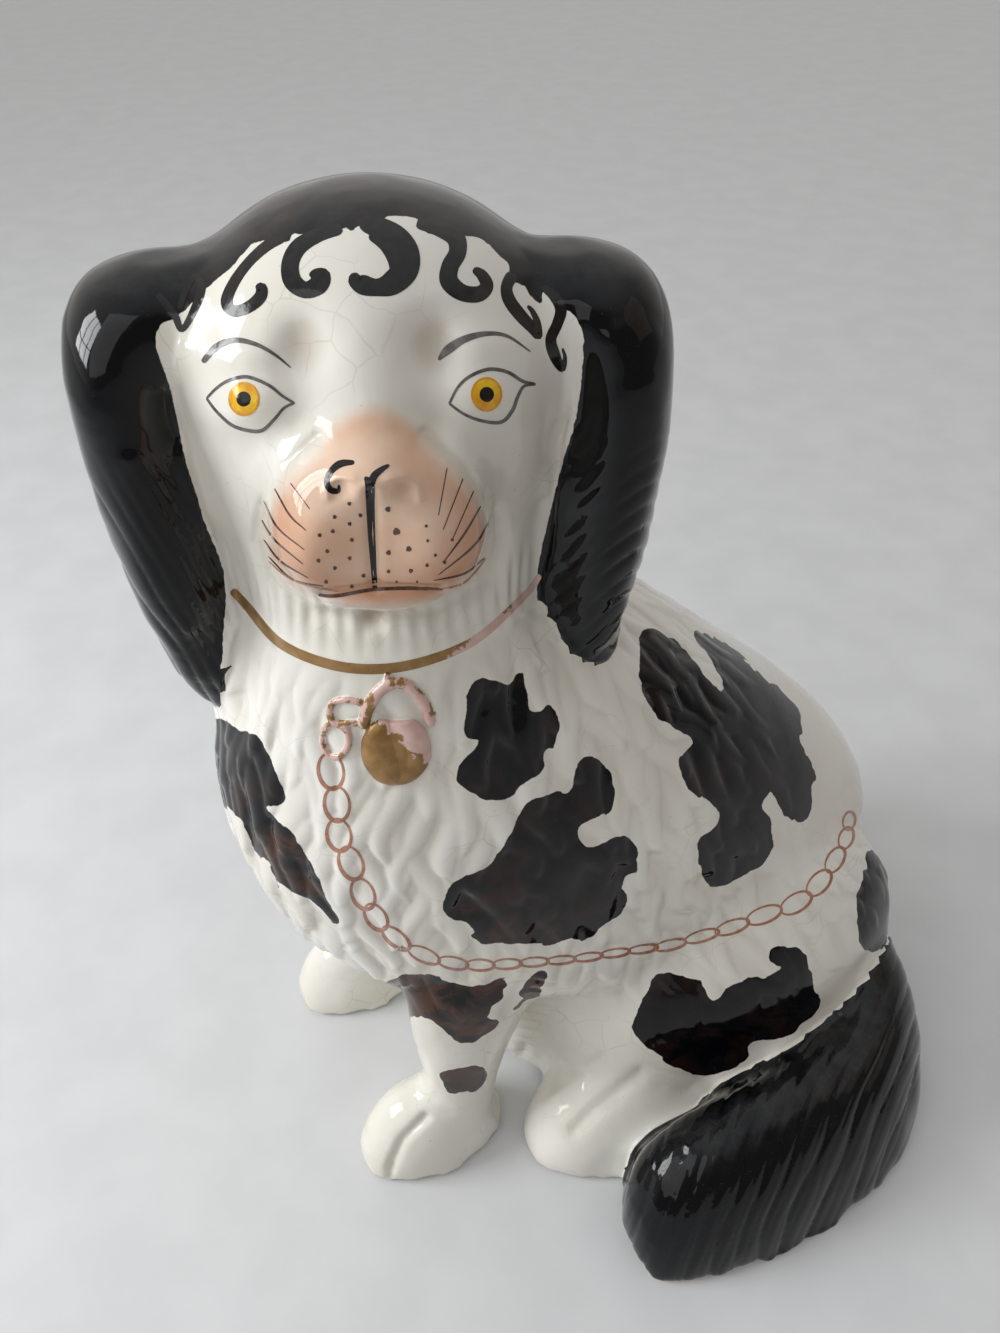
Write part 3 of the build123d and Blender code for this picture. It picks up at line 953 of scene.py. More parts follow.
def with_pink(n, cream):
    """The muzzle's pink over the cream, with painted shade browning it along its lower rim."""
    edge = n.math("ADD", n.attribute("pink"), n.wobble(120, 2, 3.0))
    tan = n.mix(n.ramp(n.noise(70, 3), 0.35, 0.7), PINK_LOW, PINK_HIGH)
    # Painted shade: the pink turns browner near its edge on the lower part of the muzzle
    rim = n.times(n.ramp(edge, -10.0, -2.0), n.ramp(n.attribute("muzzle_low_shade"), 0.0, 1.0, 0.0, 0.9))
    return n.mix(n.ramp(edge, -3.2, 1.2, 0.95, 0.0), cream, n.mix(rim, tan, PINK_RIM_SHADE))


def black_colour(n):
    """Black that fires brown where it is thin, with dust and grains on what faces up."""
    thin = n.ramp(n.noise(75, 4, 0.6, 0.8), 0.42, 0.62)
    paint = n.mix(n.times(thin, n.attribute("thin")), BLACK_PAINT, THIN_PAINT)
    up = n.upward("Normal")
    dusty = n.times(n.ramp(up, 0.60, 0.98, 0.0, 0.55), n.ramp(n.noise(140, 5, 0.6), 0.25, 0.85))
    grains = n.times(n.ramp(n.noise(1500, 2, 0.6), 0.66, 0.72), n.ramp(up, -0.1, 0.6, 0.0, 0.5))
    return n.mix(n.times(n.math("MAXIMUM", dusty, grains), 0.34), paint, DUST_COLOUR)


def glaze_material():
    """The glaze of every fired piece, with its painting and the bare clay of the foot rim."""
    n = Nodes(bpy.data.materials.new("painted_glaze"))
    black_edge = n.math("ADD", n.attribute("black"), n.wobble(520, 3, 0.7))
    black = n.ramp(black_edge, -0.10, 0.10, 1.0, 0.0)
    colour = n.mix(black, with_pink(n, white_colour(n)), black_colour(n))
    foot = n.ramp(n.upward("Position"), 0.0003, 0.0012, 1.0, 0.0)
    colour = n.mix(foot, colour, n.mix(n.noise(600, 4), WORN_FOOT, CLAY_LIGHT))
    smooth = n.ramp(n.noise(45, 3), 0.35, 0.75, 0.05, 0.11)
    rough = n.math("ADD", smooth, n.times(foot, 0.6))
    n.feed(n.shader, {"Base Color": colour, "Roughness": rough, "IOR": 1.5, "Specular IOR Level": 0.30})
    n.bump(n.math("ADD", n.noise(110, 2), n.times(n.noise(420, 2), 0.12)), 0.16, 0.0006)
    return n.owner


def plain_material(name, dark, light, noise_scale, rough_low, rough_high):
    """One enamel or body: two near colours in a fine cloud that also changes the gloss."""
    n = Nodes(bpy.data.materials.new(name))
    cloud = n.noise(noise_scale, 4)
    colour = n.mix(n.ramp(cloud, 0.3, 0.7), dark, light)
    rough = n.ramp(cloud, 0.3, 0.7, rough_low, rough_high)
    n.feed(n.shader, {"Base Color": colour, "Roughness": rough, "Metallic": 0.0, "Specular IOR Level": 0.4})
    n.bump(cloud, 0.2, 0.0002)
    return n.owner


def worn_gilding():
    """Burnished gilding, worn down to its pink ground where the piece carries "worn"."""
    n = Nodes(bpy.data.materials.new("worn_gilding"))
    worn = n.ramp(n.math("ADD", n.attribute("worn"), n.wobble(520, 4, 3.4, 0.7)), -0.12, 0.12)
    bare = n.ramp(n.attribute("bare"), 0.35, 0.65)
    cloud = n.ramp(n.noise(260, 4), 0.3, 0.7)
    paint = n.mix(worn, n.mix(cloud, GOLD_DARK, GOLD_LIGHT), n.mix(cloud, GROUND_DARK, GROUND_LIGHT))
    gilt = n.math("SUBTRACT", 1.0, n.math("MAXIMUM", worn, bare))
    n.feed(n.shader, {
        "Base Color": n.mix(bare, paint, CREAM_GLAZE),
        "Metallic": n.times(gilt, 0.35),
        "Roughness": n.ramp(worn, 0.0, 1.0, 0.30, 0.10),
    })
    n.bump(cloud, 0.2, 0.0002)
    return n.owner


glaze = glaze_material()
clay = plain_material("bare_clay", CLAY_DARK, CLAY_LIGHT, 420, 0.75, 0.9)
gold = worn_gilding()
copper = plain_material("chain_enamel", (0.33, 0.14, 0.085), (0.46, 0.24, 0.17), 500, 0.10, 0.2)
ink = plain_material("black_enamel", (0.004, 0.004, 0.005), (0.014, 0.011, 0.010), 500, 0.07, 0.12)
grey_ink = plain_material("grey_enamel", (0.075, 0.070, 0.065), (0.15, 0.14, 0.13), 700, 0.08, 0.14)
brown = plain_material("brown_enamel", (0.055, 0.028, 0.020), (0.13, 0.065, 0.045), 700, 0.08, 0.14)
yellow = plain_material("yellow_enamel", (0.66, 0.27, 0.008), (0.80, 0.52, 0.03), 330, 0.07, 0.12)


# Pieces
def write_mesh(name, points, faces, normals, looks, carried):
    """A mesh object with its material and the values that its vertices carry."""
    mesh = bpy.data.meshes.new(name)
    mesh.from_pydata((points * MM).tolist(), [], faces)
    mesh.polygons.foreach_set("use_smooth", [True] * len(mesh.polygons))
    if normals is not None:
        mesh.normals_split_custom_set_from_vertices(normals.tolist())
    for key, values in carried.items():
        attribute = mesh.attributes.new(key, "FLOAT", "POINT")
        attribute.data.foreach_set("value", np.ascontiguousarray(values, np.float32))
    mesh.update()
    made = bpy.data.objects.new(name, mesh)
    bpy.context.scene.collection.objects.link(made)
    mesh.materials.append(looks)
    return made


def longer_run(run, link):
    """The run with the new vertex of each of its edges put in."""
    keys, size, count = link
    longer = [run[0]]
    for p, q in zip(run[:-1], run[1:]):
        spot = np.searchsorted(keys, min(p, q) * size + max(p, q))
        longer += [count + int(spot), q]
    return longer


def fine_edge(a, b):
    """The fine vertices along one cage edge, from a to b."""
    run = [a, b]
    for link in links:
        run = longer_run(run, link)
    return run


# These nodes are refined once more
FINE_NODES = ["face_shell", "left_ear", "right_ear"]
# The inner wall stays this many mm above the ground
INNER_FLOOR = 0.4
# What is painted on each node, and the body's painting where none is named
KINDS = {"left_ear": "ear", "right_ear": "ear", "tail": "tail", "face_shell": "head", "nape_shell": "head"}


def outer_arrays(number):
    """One node's outer quads, their points, normals and relief, and its fine edges' numbers."""
    outer = quads[label == number]
    used, back = np.unique(outer, return_inverse=True)
    own = back.reshape(-1, 4)
    place, facing = points[used], normals[used]
    raised, hollow_pool_shades = relief[used], hollow_pool_shade[used]
    link = None
    if NODE_NAMES[number] in FINE_NODES:
        raised, hollow_pool_shades, _ = refine(np.stack([raised, hollow_pool_shades, hollow_pool_shades], -1), own)[0].T
        finer_facing = unit(refine(facing, own)[0])
        place, own, link = refine(place, own)
        facing = normals_of(place, own)
        rim = np.unique(open_sides(own))
        facing[rim] = finer_facing[rim]
    numbers = {int(v): i for i, v in enumerate(used)}
    return place, own, facing, raised, hollow_pool_shades, numbers, link


def piece_arrays(number):
    """The outer quads of one node, its inner wall and the rim between them."""
    place, own, facing, raised, hollow_pool_shades, numbers, link = outer_arrays(number)
    inner = cage_quads[cage_label == number]
    inner_used, inner_back = np.unique(inner, return_inverse=True)
    start = len(place)
    inner_number = {int(v): start + i for i, v in enumerate(inner_used)}
    faces = own.tolist()
    faces += (start + inner_back.reshape(-1, 4)[:, ::-1]).tolist()
    for a, b in open_sides(inner):
        run = [numbers[v] for v in fine_edge(a, b)]
        if link is not None:
            run = longer_run(run, link)
        faces.append(run[::-1] + [inner_number[a], inner_number[b]])
    sunk = points[inner_used] - normals[inner_used] * SHELL_WALL
    sunk[:, 2] = np.maximum(sunk[:, 2], INNER_FLOOR)
    paint = painted(place, facing, KINDS.get(NODE_NAMES[number], "body"), raised, hollow_pool_shades)
    carried = {key: np.concatenate([values, np.zeros(len(sunk))]) for key, values in paint.items()}
    return np.concatenate([place, sunk]), faces, np.concatenate([facing, -normals[inner_used]]), carried


for number, name in enumerate(SKIN_NODES):
    all_points, faces, all_normals, carried = piece_arrays(number)
    piece = write_mesh(name + "_skin", all_points, faces, all_normals, glaze, carried)
    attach(piece, "root")
    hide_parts(name)
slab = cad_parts["base_slab"]
for slot in slab.material_slots:
    slot.link = "OBJECT"
    slot.material = clay

skin_tree = BVHTree.FromPolygons([Vector(p) for p in points], quads.tolist())
camera_spot = Vector(CAMERA_PLACE)
# How far the enamel stands above the skin and reaches below it, in mm
LIFT, SINK = 0.07, 0.25


def on_skin(u, v):
    """The place on the skin under a pixel of the photograph, and the skin's direction there."""
    spot, _, face, _ = skin_tree.ray_cast(camera_spot, Vector(ray(u, v)))
    if spot is None:
        return None
    corners = quads[face]
    near = np.linalg.norm(points[corners] - np.array(spot), axis=1)
    weight = 1 / (near + 0.05)
    direction = unit((normals[corners] * weight[:, None]).sum(0))
    return np.array(spot), direction


def curve_through(path, step=1.6):
    """Points close together on a smooth curve through the path; widths ride along."""
    path = np.asarray(path, float)
    ends = np.concatenate([2 * path[:1] - path[1:2], path, 2 * path[-1:] - path[-2:-1]])
    line = []
    for p0, p1, p2, p3 in zip(ends, ends[1:], ends[2:], ends[3:]):
        square, cube = 2 * p0 - 5 * p1 + 4 * p2 - p3, 3 * p1 - p0 - 3 * p2 + p3
        count = max(2, int(np.linalg.norm((p2 - p1)[:2]) / step))
        for t in np.arange(count) / count:
            line.append(0.5 * (2 * p1 + (p2 - p0) * t + square * t**2 + cube * t**3))
    line.append(path[-1])
    return np.array(line)


class Decal:
    """Thin painted forms that lie on the skin, gathered into one closed piece."""

    def __init__(self):
        self.points, self.faces, self.normals = [], [], []

    def sheet(self, grid, closed=False, lifts=None):
        """A closed lens over a grid of skin places: rows by columns, with a lift for each row."""
        rows, columns = len(grid), len(grid[0])
        start, size = len(self.points), rows * columns
        for upper in (True, False):
            for r, row in enumerate(grid):
                for spot, facing in row:
                    lift = LIFT if lifts is None else lifts[r]
                    self.points.append(spot + facing * (lift if upper else -SINK))
                    self.normals.append(facing if upper else -facing)

        def at(r, c, layer):
            return start + layer * size + r * columns + c % columns

        def wall(a, b):
            self.faces.append([at(*a, 0), at(*b, 0), at(*b, 1), at(*a, 1)])

        last, end = columns - 1, rows - 1
        across = columns if closed else last
        for r in range(end):
            for c in range(across):
                quad = [at(r, c, 0), at(r, c + 1, 0), at(r + 1, c + 1, 0), at(r + 1, c, 0)]
                self.faces.append(quad)
                self.faces.append([v + size for v in quad[::-1]])
        for c in range(across):
            wall((0, c + 1), (0, c))
            wall((end, c), (end, c + 1))
        for r in range(0 if closed else end):
            wall((r, 0), (r + 1, 0))
            wall((r + 1, last), (r, last))

    def stroke(self, path, across_steps=4, step=1.6):
        """A brush stroke with round ends: a path of (u, v, half width) in photograph pixels."""
        line = curve_through(path, step)
        along = np.r_[0, np.cumsum(np.linalg.norm(np.diff(line[:, :2], axis=0), axis=1))]
        from_end = np.minimum(along, along[-1] - along) / np.maximum(line[:, 2], 0.5) + 0.15
        line[:, 2] *= np.sqrt(1 - (1 - np.clip(from_end, 0, 1)) ** 2)
        way = np.gradient(line[:, :2], axis=0)
        way /= np.maximum(np.linalg.norm(way, axis=1, keepdims=True), 1e-6)
        side = np.stack([-way[:, 1], way[:, 0]], -1)
        runs = [[]]
        for p, s in zip(line, side):
            cells = [on_skin(*(p[:2] + s * p[2] * k)) for k in np.linspace(-1, 1, across_steps)]
            if any(cell is None for cell in cells):
                continue
            if runs[-1] and np.linalg.norm(runs[-1][-1][1][0] - cells[1][0]) > 6 * step:
                runs.append([])
            runs[-1].append(cells)
        for grid in runs:
            if len(grid) > 1:
                self.sheet(grid)

    def blob(self, u, v, wide, tall, rings, spokes, height=0.0, ragged=0.0):
        """A filled round spot with its half axes in photograph pixels, domed to its height in mm."""
        grid, lifts = [], []
        for r in range(rings + 1):
            reach = max(r / rings, 0.02)
            row = []
            for k in range(spokes):
                a = 2 * math.pi * k / spokes
                far = reach * (1 + ragged * math.sin(3 * a + u) + 0.6 * ragged * math.sin(5 * a + v))
                row.append(on_skin(u + wide * far * math.cos(a), v + tall * far * math.sin(a)))
            grid.append(row)
            lifts.append(max(height * math.sqrt(1 - min(reach, 0.999) ** 2), LIFT))
        self.sheet(grid, closed=True, lifts=lifts)

    def write(self, name, looks, slot, carried=None):
        points, normals = np.array(self.points), np.array(self.normals)
        made = write_mesh(name, points, self.faces, normals, looks, carried or {})
        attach(made, "root")


def widths(path, start, middle, end):
    """The path with a half width that swells from its start to its middle and thins to its end."""
    count = len(path)
    result = []
    for k, (u, v) in enumerate(path):
        t = k / (count - 1)
        w = start + (middle - start) * min(1, 2 * t) if t < 0.5 else middle + (end - middle) * (2 * t - 1)
        result.append((u, v, w))
    return result


def strokes(name, looks, slot, paths, where=FACE_CROP, **settings):
    """Brush strokes read off one crop, as one piece."""
    decal = Decal()
    for path in paths:
        decal.stroke(from_crop(where, path), **settings)
    decal.write(name, looks, slot)


LEFT_BROW = [(205, 530, 9), (250, 480, 11), (310, 458, 9), (380, 472, 7), (440, 505, 5), (493, 548, 2)]
RIGHT_BROW = [
    (975, 522, 5), (1008, 488, 15), (1060, 455, 12), (1130, 437, 8), (1200, 445, 5), (1275, 495, 2)]
strokes("brow_strokes", grey_ink, "black_glaze", [LEFT_BROW, RIGHT_BROW])

# The middles of the eyes, and the upper and the lower line of each, on the crop of the face
LEFT_EYE, RIGHT_EYE = (340, 650), (1132, 635)
EYE_LINES = [
    widths([(218, 648), (250, 615), (290, 590), (350, 578), (420, 605), (465, 640), (505, 664)], 4, 6, 4),
    widths([(218, 648), (250, 690), (300, 735), (355, 753), (400, 752), (440, 715), (470, 680),
            (505, 662)], 4, 6, 4),
    widths([(1010, 665), (1040, 610), (1080, 575), (1140, 553), (1200, 562), (1250, 592), (1292, 602)],
            4, 6, 5),
    widths([(1010, 665), (1060, 700), (1120, 722), (1180, 725), (1215, 690), (1235, 640), (1255, 608),
            (1292, 602)], 4, 6, 4),
]
strokes("eye_outlines", grey_ink, "black_glaze", EYE_LINES)


def eye_parts(name, looks, slot, wide, tall, height):
    """The same round of enamel on both eyes."""
    decal = Decal()
    for u, v in from_crop(FACE_CROP, (LEFT_EYE, RIGHT_EYE)):
        decal.blob(u, v, wide, tall, 6, 32, height)
    decal.write(name, looks, slot)


amber = plain_material("orange_enamel", (0.55, 0.20, 0.006), (0.68, 0.34, 0.02), 400, 0.07, 0.12)
eye_parts("iris_rims", amber, "white_glaze", 15.6, 17.2, 0.10)
eye_parts("irises", yellow, "white_glaze", 13.6, 15.2, 0.15)
eye_parts("pupils", ink, "black_glaze", 8.2, 8.6, 0.27)

NOSE_LINES = [
    [(650, 930, 4), (648, 950, 8), (622, 946, 11), (610, 918, 9), (625, 886, 10), (655, 862, 12),
     (700, 857, 7)],
    [(752, 936, 12), (765, 902, 12), (790, 880, 9), (814, 866, 5)],
    [(735, 905, 6), (750, 930, 15), (753, 1000, 14), (757, 1100, 12), (763, 1190, 10), (768, 1275, 8)],
]
strokes("nose_lines", ink, "black_glaze", NOSE_LINES)
MOUTH_LINES = [
    [(583, 1290, 4), (640, 1293, 6), (768, 1272, 6), (900, 1268, 6), (990, 1272, 3)],
]
strokes("mouth_line", brown, "black_glaze", MOUTH_LINES)
LIP_LINES = [
    [(420, 1180, 1.5), (480, 1230, 2.5), (560, 1262, 3), (650, 1278, 2.5)],
    [(900, 1275, 2), (980, 1270, 2.5), (1050, 1255, 3), (1095, 1215, 2.5), (1130, 1170, 1.5)],
]
strokes("lip_lines", copper, "white_glaze", LIP_LINES)
LEFT_WHISKERS = [
    [(492, 925), (555, 1010)], [(440, 943), (490, 1030), (543, 1080)],
    [(405, 985), (450, 1070), (537, 1143)], [(398, 1045), (440, 1110), (533, 1190)],
    [(405, 1110), (460, 1180), (550, 1235)], [(420, 1165), (500, 1240), (600, 1262)],
]
RIGHT_WHISKERS = [
    [(1003, 875), (975, 1030)], [(1055, 910), (990, 1078)], [(1090, 950), (1020, 1110)],
    [(1113, 1000), (1060, 1090), (990, 1185)], [(1140, 1050), (1090, 1130), (975, 1225)],
    [(1125, 1170), (1060, 1220), (960, 1243)],
]
whiskers = [widths(path, 1.6, 3.2, 1.2) for path in LEFT_WHISKERS + RIGHT_WHISKERS]
strokes("whiskers", brown, "black_glaze", whiskers, across_steps=3)

# The spots of the muzzle, on the crop of the face: all of the left ones have one size
LEFT_DOT_SIZE, DOT_RAGGED = 6.5, 0.12
LEFT_DOTS = [
    (684, 992), (636, 1035), (685, 1058), (720, 1030), (630, 1082), (587, 1095), (692, 1110), (612, 1147),
    (583, 1178), (685, 1170), (637, 1202), (730, 1227), (692, 1262), (608, 1247)]
RIGHT_DOTS = [
    (810, 1010, 9), (838, 1083, 12), (878, 1140, 9), (812, 1152, 8), (812, 1213, 6), (885, 1211, 7),
    (938, 1193, 6), (995, 1183, 6), (1020, 1110, 5), (935, 1065, 5), (905, 1247, 4), (838, 1247, 4),
    (940, 1113, 5), (965, 1160, 5)]
dots = Decal()
for u, v, w in from_crop(FACE_CROP, [(u, v, LEFT_DOT_SIZE) for u, v in LEFT_DOTS] + RIGHT_DOTS):
    dots.blob(u, v, w, w, 2, 10, ragged=DOT_RAGGED)
dots.write("muzzle_dots", brown, "black_glaze")

# Curls that hang from the cap: points with half widths, on the crop of the cap
CAP_CURLS = [
    [(-102, 225, 8), (-62, 275, 9), (-42, 310, 7), (-8, 250, 10), (4, 205, 10), (-14, 185, 8),
     (-35, 218, 8), (-50, 262, 7)],
    [(200, 88, 13), (158, 112, 13), (115, 152, 12), (82, 198, 13), (64, 243, 14), (80, 266, 14),
     (115, 258, 14), (144, 234, 15), (148, 211, 13), (134, 212, 8)],
    [(340, 66, 16), (285, 84, 17), (238, 112, 20), (217, 152, 21), (222, 194, 22), (252, 216, 20),
     (284, 204, 23), (294, 182, 19), (278, 176, 11), (264, 184, 7)],
    [(385, 52, 18), (425, 66, 26), (468, 90, 30), (494, 125, 31), (492, 168, 32), (460, 200, 29),
     (425, 210, 21), (392, 204, 24), (372, 192, 17), (380, 178, 11)],
    [(408, 84, 10), (442, 112, 11), (460, 148, 9), (462, 186, 5)],
    [(520, 56, 12), (570, 68, 18), (612, 90, 22), (618, 125, 21), (600, 160, 21), (598, 195, 22),
     (628, 222, 20), (668, 226, 19), (688, 206, 16), (676, 180, 13), (656, 166, 8)],
    [(752, 176, 16), (736, 208, 14), (742, 240, 15), (768, 276, 15), (796, 306, 13), (812, 326, 9),
     (810, 296, 8), (798, 268, 6), (786, 254, 4)],
    [(822, 208, 8), (850, 232, 12), (866, 262, 14), (858, 296, 13), (842, 334, 13), (850, 370, 14),
     (868, 404, 9), (876, 380, 5), (870, 356, 3)],
]
strokes("cap_curls", ink, "black_glaze", CAP_CURLS, CURL_CROP, across_steps=6)

COLLAR = [
    (232, 590, 4), (246, 605, 4.2), (280, 643, 4.6), (329, 664, 5), (379, 669, 5), (429, 660, 4.8),
    (478, 638, 4.2), (525, 595, 3.4), (540, 575, 3)]
# The collar line is worn to the right of this pixel
COLLAR_WORN_FROM, COLLAR_WORN_REACH = 474, 34
band = Decal()
band.stroke(COLLAR)
band_points = np.array(band.points)
band_worn = (to_photo(band_points)[0][:, 0] - COLLAR_WORN_FROM) / COLLAR_WORN_REACH
band_worn += 1.7 * hash_noise(band_points, 2.6, 41)
band.write("collar_band", gold, "gilding", {"worn": band_worn})

# The links' centres in pixels, with the half width of each link
CHAIN_CENTRES = [
    (331, 771, 12.5), (337, 804, 12.5), (339, 835, 12), (351, 863, 11.5), (363, 894, 11), (376, 917, 9.5),
    (396, 938, 7.5), (424, 955, 7), (453, 963, 6), (480, 965, 5.5), (507, 964, 5), (534, 962, 4.5),
    (561, 960, 4), (588, 957, 4), (615, 953, 4), (643, 949, 4), (670, 945, 5), (702, 936, 5.5),
    (732, 927, 6.5), (764, 915, 8), (796, 903, 9), (819, 883, 9), (835, 860, 8), (846, 838, 7),
    (849, 821, 6)]


# A link's length as a share of its neighbours' distance, its points, and how many make a round
LINK_OVERLAP, LINK_STEPS, LINK_TURN = 0.54, 27, 24
# The half width of the line in pixels, near the chest and along the flank
NEAR_LINE, FAR_LINE = 1.9, 1.35


def chain_link(decal, centre, before, after, half_wide, line):
    """One oval link whose long way follows the chain."""
    way = np.array(after, float) - np.array(before, float)
    half_long = LINK_OVERLAP * np.linalg.norm(way) / 2
    way = way / np.linalg.norm(way)
    side = np.array([-way[1], way[0]])
    loop = []
    for k in range(LINK_STEPS):
        a = 2 * math.pi * k / LINK_TURN
        spot = np.array(centre) + way * half_long * math.cos(a) + side * half_wide * math.sin(a)
        loop.append((spot[0], spot[1], line * (0.85 + 0.25 * math.sin(a + 1.0))))
    decal.stroke(loop, across_steps=3, step=2.0)


def painted_chain():
    """The chain from the padlock's second link over the flank."""
    chain = Decal()
    centres = [np.array(c[:2]) for c in CHAIN_CENTRES]
    line = [2 * centres[0] - centres[1], *centres, 2 * centres[-1] - centres[-2]]
    for k, (u, v, half_wide) in enumerate(CHAIN_CENTRES):
        thick = NEAR_LINE if v < 940 and u < 600 else FAR_LINE
        chain_link(chain, (u, v), line[k], line[k + 2], half_wide, thick)
    chain.write("chain_links", copper, "white_glaze")


painted_chain()

# The padlock: a soft relief on the throat, modelled over a grid of photograph pixels
LOCK_BOX = (312, 672, 440, 800)
LOCK_STEP = 1.0
DISC, DISC_REACH, DISC_TOP = (396, 749), 36, 717
# Its shackle, two links, hinge and hanger: the path, the half thickness in pixels, the height in mm
LOCK_RODS = [
    ([(364, 722), (368, 708), (376, 694), (388, 684), (402, 682), (414, 690), (425, 704),
      (430, 720)], 6.6, 1.6),
    ([(364, 722), (350, 722), (336, 722), (330, 712), (334, 702), (346, 699), (362, 702), (366, 712),
      (364, 722)], 4.2, 1.1),
    ([(334, 722), (346, 728), (349, 742), (342, 755), (330, 754), (323, 742), (326, 728),
      (334, 722)], 4.2, 1.1),
    ([(424, 717), (434, 713)], 3.0, 0.9),
    ([(386, 684), (388, 674)], 4.5, 0.6),
]


def disc_share(px):
    """How far out on the padlock's disc a pixel lies: 1 at its rim."""
    return np.hypot((px[:, 0] - DISC[0]) / DISC_REACH, (px[:, 1] - DISC[1]) / DISC_REACH)


def lock_height(px):
    """How far the padlock, its shackle and its first links stand out, in mm."""
    disc = (disc_share(px) - 1) * DISC_REACH
    dome = 2.1 * np.sqrt(np.clip(1 - np.clip(1 + disc / 14, 0, None) ** 2, 0, 1))
    dome += 0.5 * np.clip(-disc / 34, 0, 1)
    forms = [np.where(disc < 0, dome, 0) * (px[:, 1] > DISC_TOP)]
    for path, half, tall in LOCK_RODS:
        d = path_distance(px, [tuple(p) for p in curve_through(path)])
        forms.append(tall * np.sqrt(np.clip(1 - (d / half) ** 2, 0, None)))
    return np.maximum.reduce(forms)


def lock_worn(px, lift):
    """How worn the gilding is at each pixel, and where the glaze is bare."""
    flat = np.c_[px, px[:, 0]]
    worn = (px[:, 0] - px[:, 1] + 332) / 9 + 1.2 * hash_noise(flat, 9, 51)
    links = ((px[:, 0] < 366) | (px[:, 1] < 714)) & (disc_share(px) > 1.0)
    worn = np.where(links, 0.9 * hash_noise(flat, 7, 52) + 0.2, worn)
    return {"worn": worn, "bare": np.where(lift < 0.45, 1.0, 0.0)}


def padlock_piece():
    """The padlock's front and back, closed all round, on the throat's own surface drawn smooth."""
    left, top, right, bottom = LOCK_BOX
    us, vs = np.arange(left, right, LOCK_STEP), np.arange(top, bottom, LOCK_STEP)
    px = np.stack(np.meshgrid(us, vs), -1).reshape(-1, 2)
    tall = lock_height(px).reshape(len(vs), len(us))
    keep = tall > 0.02
    rows, columns = np.nonzero(keep[:-1, :-1] | keep[1:, :-1] | keep[:-1, 1:] | keep[1:, 1:])
    corner, count = rows * len(us) + columns, len(us)
    top_quads = np.stack([corner, corner + 1, corner + count + 1, corner + count], -1)
    spots = [on_skin(u, v) for v in vs for u in us]
    lock_net = Net(edges_of(np.concatenate([top_quads, [[0, 0, 0, 0]]]))[0], len(spots))
    flat = lock_net.blur(np.array([spot[0] for spot in spots]), 8, 0.7)
    facing = unit(lock_net.blur(np.array([spot[1] for spot in spots]), 8, 0.7))
    lift = np.where(keep.ravel(), lock_net.blur(tall.ravel(), 2, 0.5), -0.05)
    upper, lower = flat + facing * lift[:, None], flat - facing * 0.5
    used, back = np.unique(top_quads, return_inverse=True)
    own, size = back.reshape(-1, 4), len(used)
    faces = own.tolist() + (own[:, ::-1] + size).tolist()
    faces += [[b, a, a + size, b + size] for a, b in open_sides(own)]
    carried = {key: np.r_[values, values] for key, values in lock_worn(px[used], lift[used]).items()}
    lock_points = np.concatenate([upper[used], lower[used]])
    piece = write_mesh("padlock_relief", lock_points, faces, None, gold, carried)
    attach(piece, "root")
    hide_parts("padlock")


padlock_piece()

# Camera, floor and light
scene = bpy.context.scene
camera_data = bpy.data.cameras.new("camera")
camera_data.sensor_width = SENSOR_WIDTH
camera_data.lens = SENSOR_WIDTH * FOCAL_PIXELS / PHOTO_HEIGHT
camera_data.clip_start = 0.01
camera_data.clip_end = 20
camera = bpy.data.objects.new("camera", camera_data)
turn = Matrix([list(across), list(-down), list(-look)]).transposed()
camera.matrix_world = Matrix.Translation(Vector(CAMERA_PLACE * MM)) @ turn.to_4x4()
scene.collection.objects.link(camera)
scene.camera = camera

FLOOR_COLOURS = ((0.60, 0.605, 0.61), (0.64, 0.645, 0.65))
bpy.ops.mesh.primitive_plane_add(size=6)
floor = bpy.context.object
floor.name = "floor"
floor.data.materials.append(plain_material("floor", *FLOOR_COLOURS, 30, 0.55, 0.65))

ROOM_FRONT, ROOM_BACK, ROOM_TOP = (0.19, 0.175, 0.16), (0.70, 0.68, 0.65), (0.74, 0.75, 0.77)


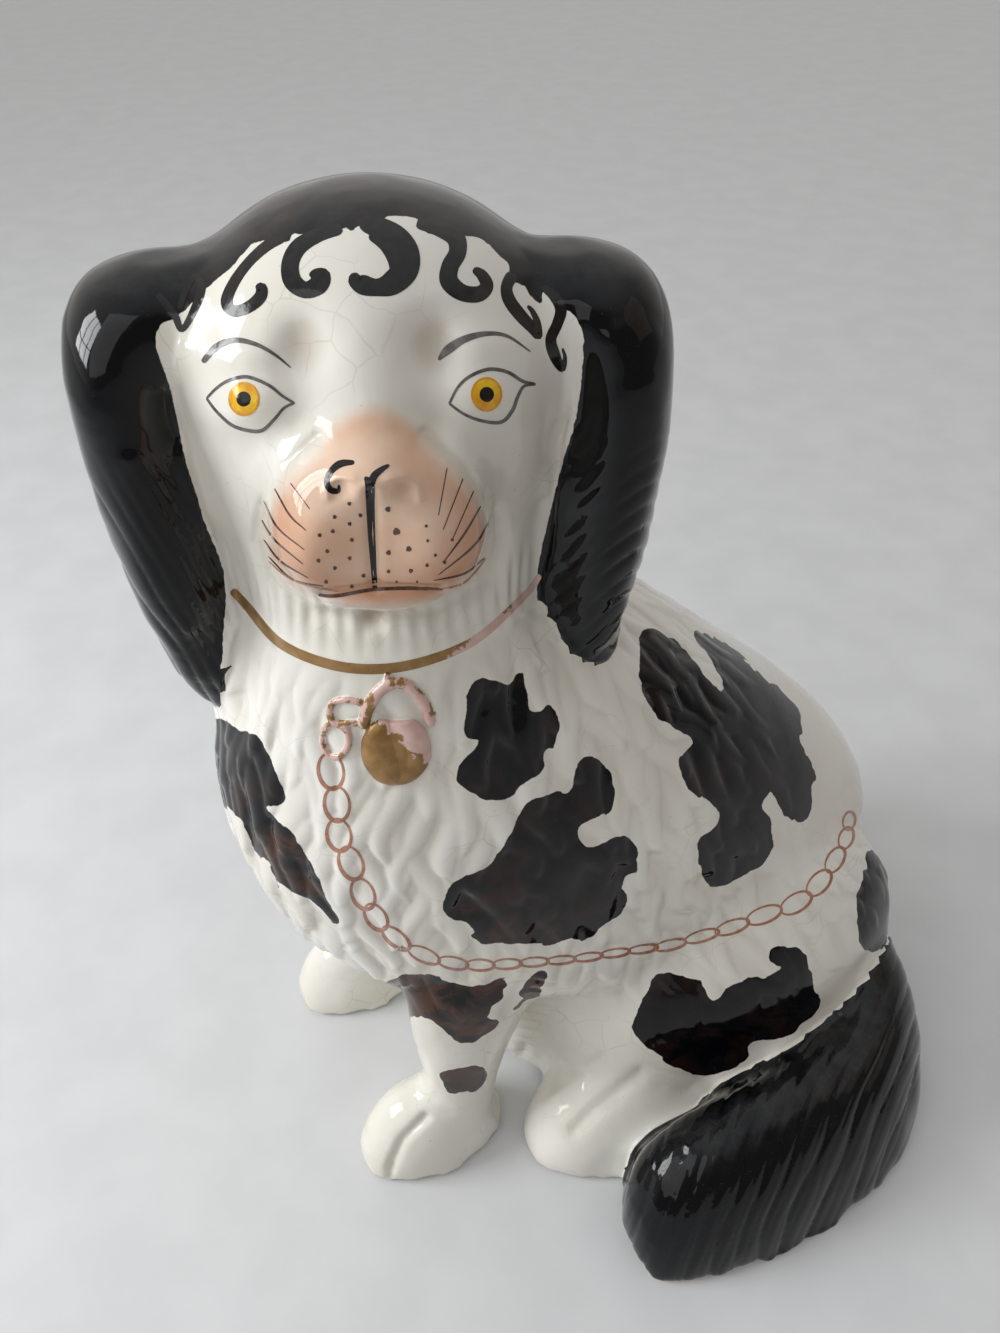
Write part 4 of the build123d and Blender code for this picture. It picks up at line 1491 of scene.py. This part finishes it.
def sky():
    """A plain room: dim before the figure, brighter behind it and above."""
    scene.world = bpy.data.worlds.new("world")
    n = Nodes(scene.world)
    place = n.add("ShaderNodeTexCoord").outputs["Generated"]
    way = n.add("ShaderNodeSeparateXYZ", {0: place}).outputs
    level = n.mix(n.ramp(way["Y"], -0.6, 0.6), ROOM_FRONT, ROOM_BACK)
    shade = n.mix(n.ramp(way["Z"], 0.5, 1.0), level, ROOM_TOP)
    n.feed(n.tree.nodes["Background"], {"Color": shade, "Strength": 1.0})


sky()


def lamp(name, place, aim, size, power, colour):
    """A soft rectangular lamp that faces its aim."""
    data = bpy.data.lights.new(name, "AREA")
    data.shape = "RECTANGLE"
    data.size, data.size_y = size
    data.energy = power
    data.color = colour
    made = bpy.data.objects.new(name, data)
    made.location = place
    made.rotation_mode = "QUATERNION"
    made.rotation_quaternion = (Vector(aim) - Vector(place)).to_track_quat("-Z", "Y")
    scene.collection.objects.link(made)


# The window stands to the left of the picture: panes side by side with bars between them
WINDOW_MIDDLE, WINDOW_POWER = Vector((-0.85, 0.28, 0.62)), 6.8
WINDOW_ACROSS, WINDOW_AIM = Vector((0.32, 0.947, 0)), Vector((0.947, -0.32, -0.35))
PANE_WIDTH, PANE_HEIGHT, PANE_GAP = 0.135, 0.15, 0.02
DAYLIGHT, SOFT_DAYLIGHT, WARM_LIGHT = (0.95, 0.98, 1.0), (0.97, 0.98, 1.0), (1.0, 0.77, 0.60)
# Two more lamps: name, place, aim, size, power and colour
LAMPS = [
    ("fill", (1.0, -0.7, 0.9), (0, 0, 0.15), (0.9, 0.9), 0.66, WARM_LIGHT),
    ("soft_left", (-1.05, -0.5, 0.9), (0, 0, 0.18), (1.2, 1.2), 4.8, SOFT_DAYLIGHT),
]
for column in (-1, 0, 1):
    for row in (-1, 0, 1):
        spot = WINDOW_MIDDLE + column * (PANE_WIDTH + PANE_GAP) * WINDOW_ACROSS
        spot.z += row * (PANE_HEIGHT + PANE_GAP)
        pane = f"pane_{column + 1}_{row + 1}"
        lamp(pane, spot, spot + WINDOW_AIM, (PANE_WIDTH, PANE_HEIGHT), WINDOW_POWER / 9, DAYLIGHT)
for settings in LAMPS:
    lamp(*settings)

scene.view_settings.view_transform = "Standard"
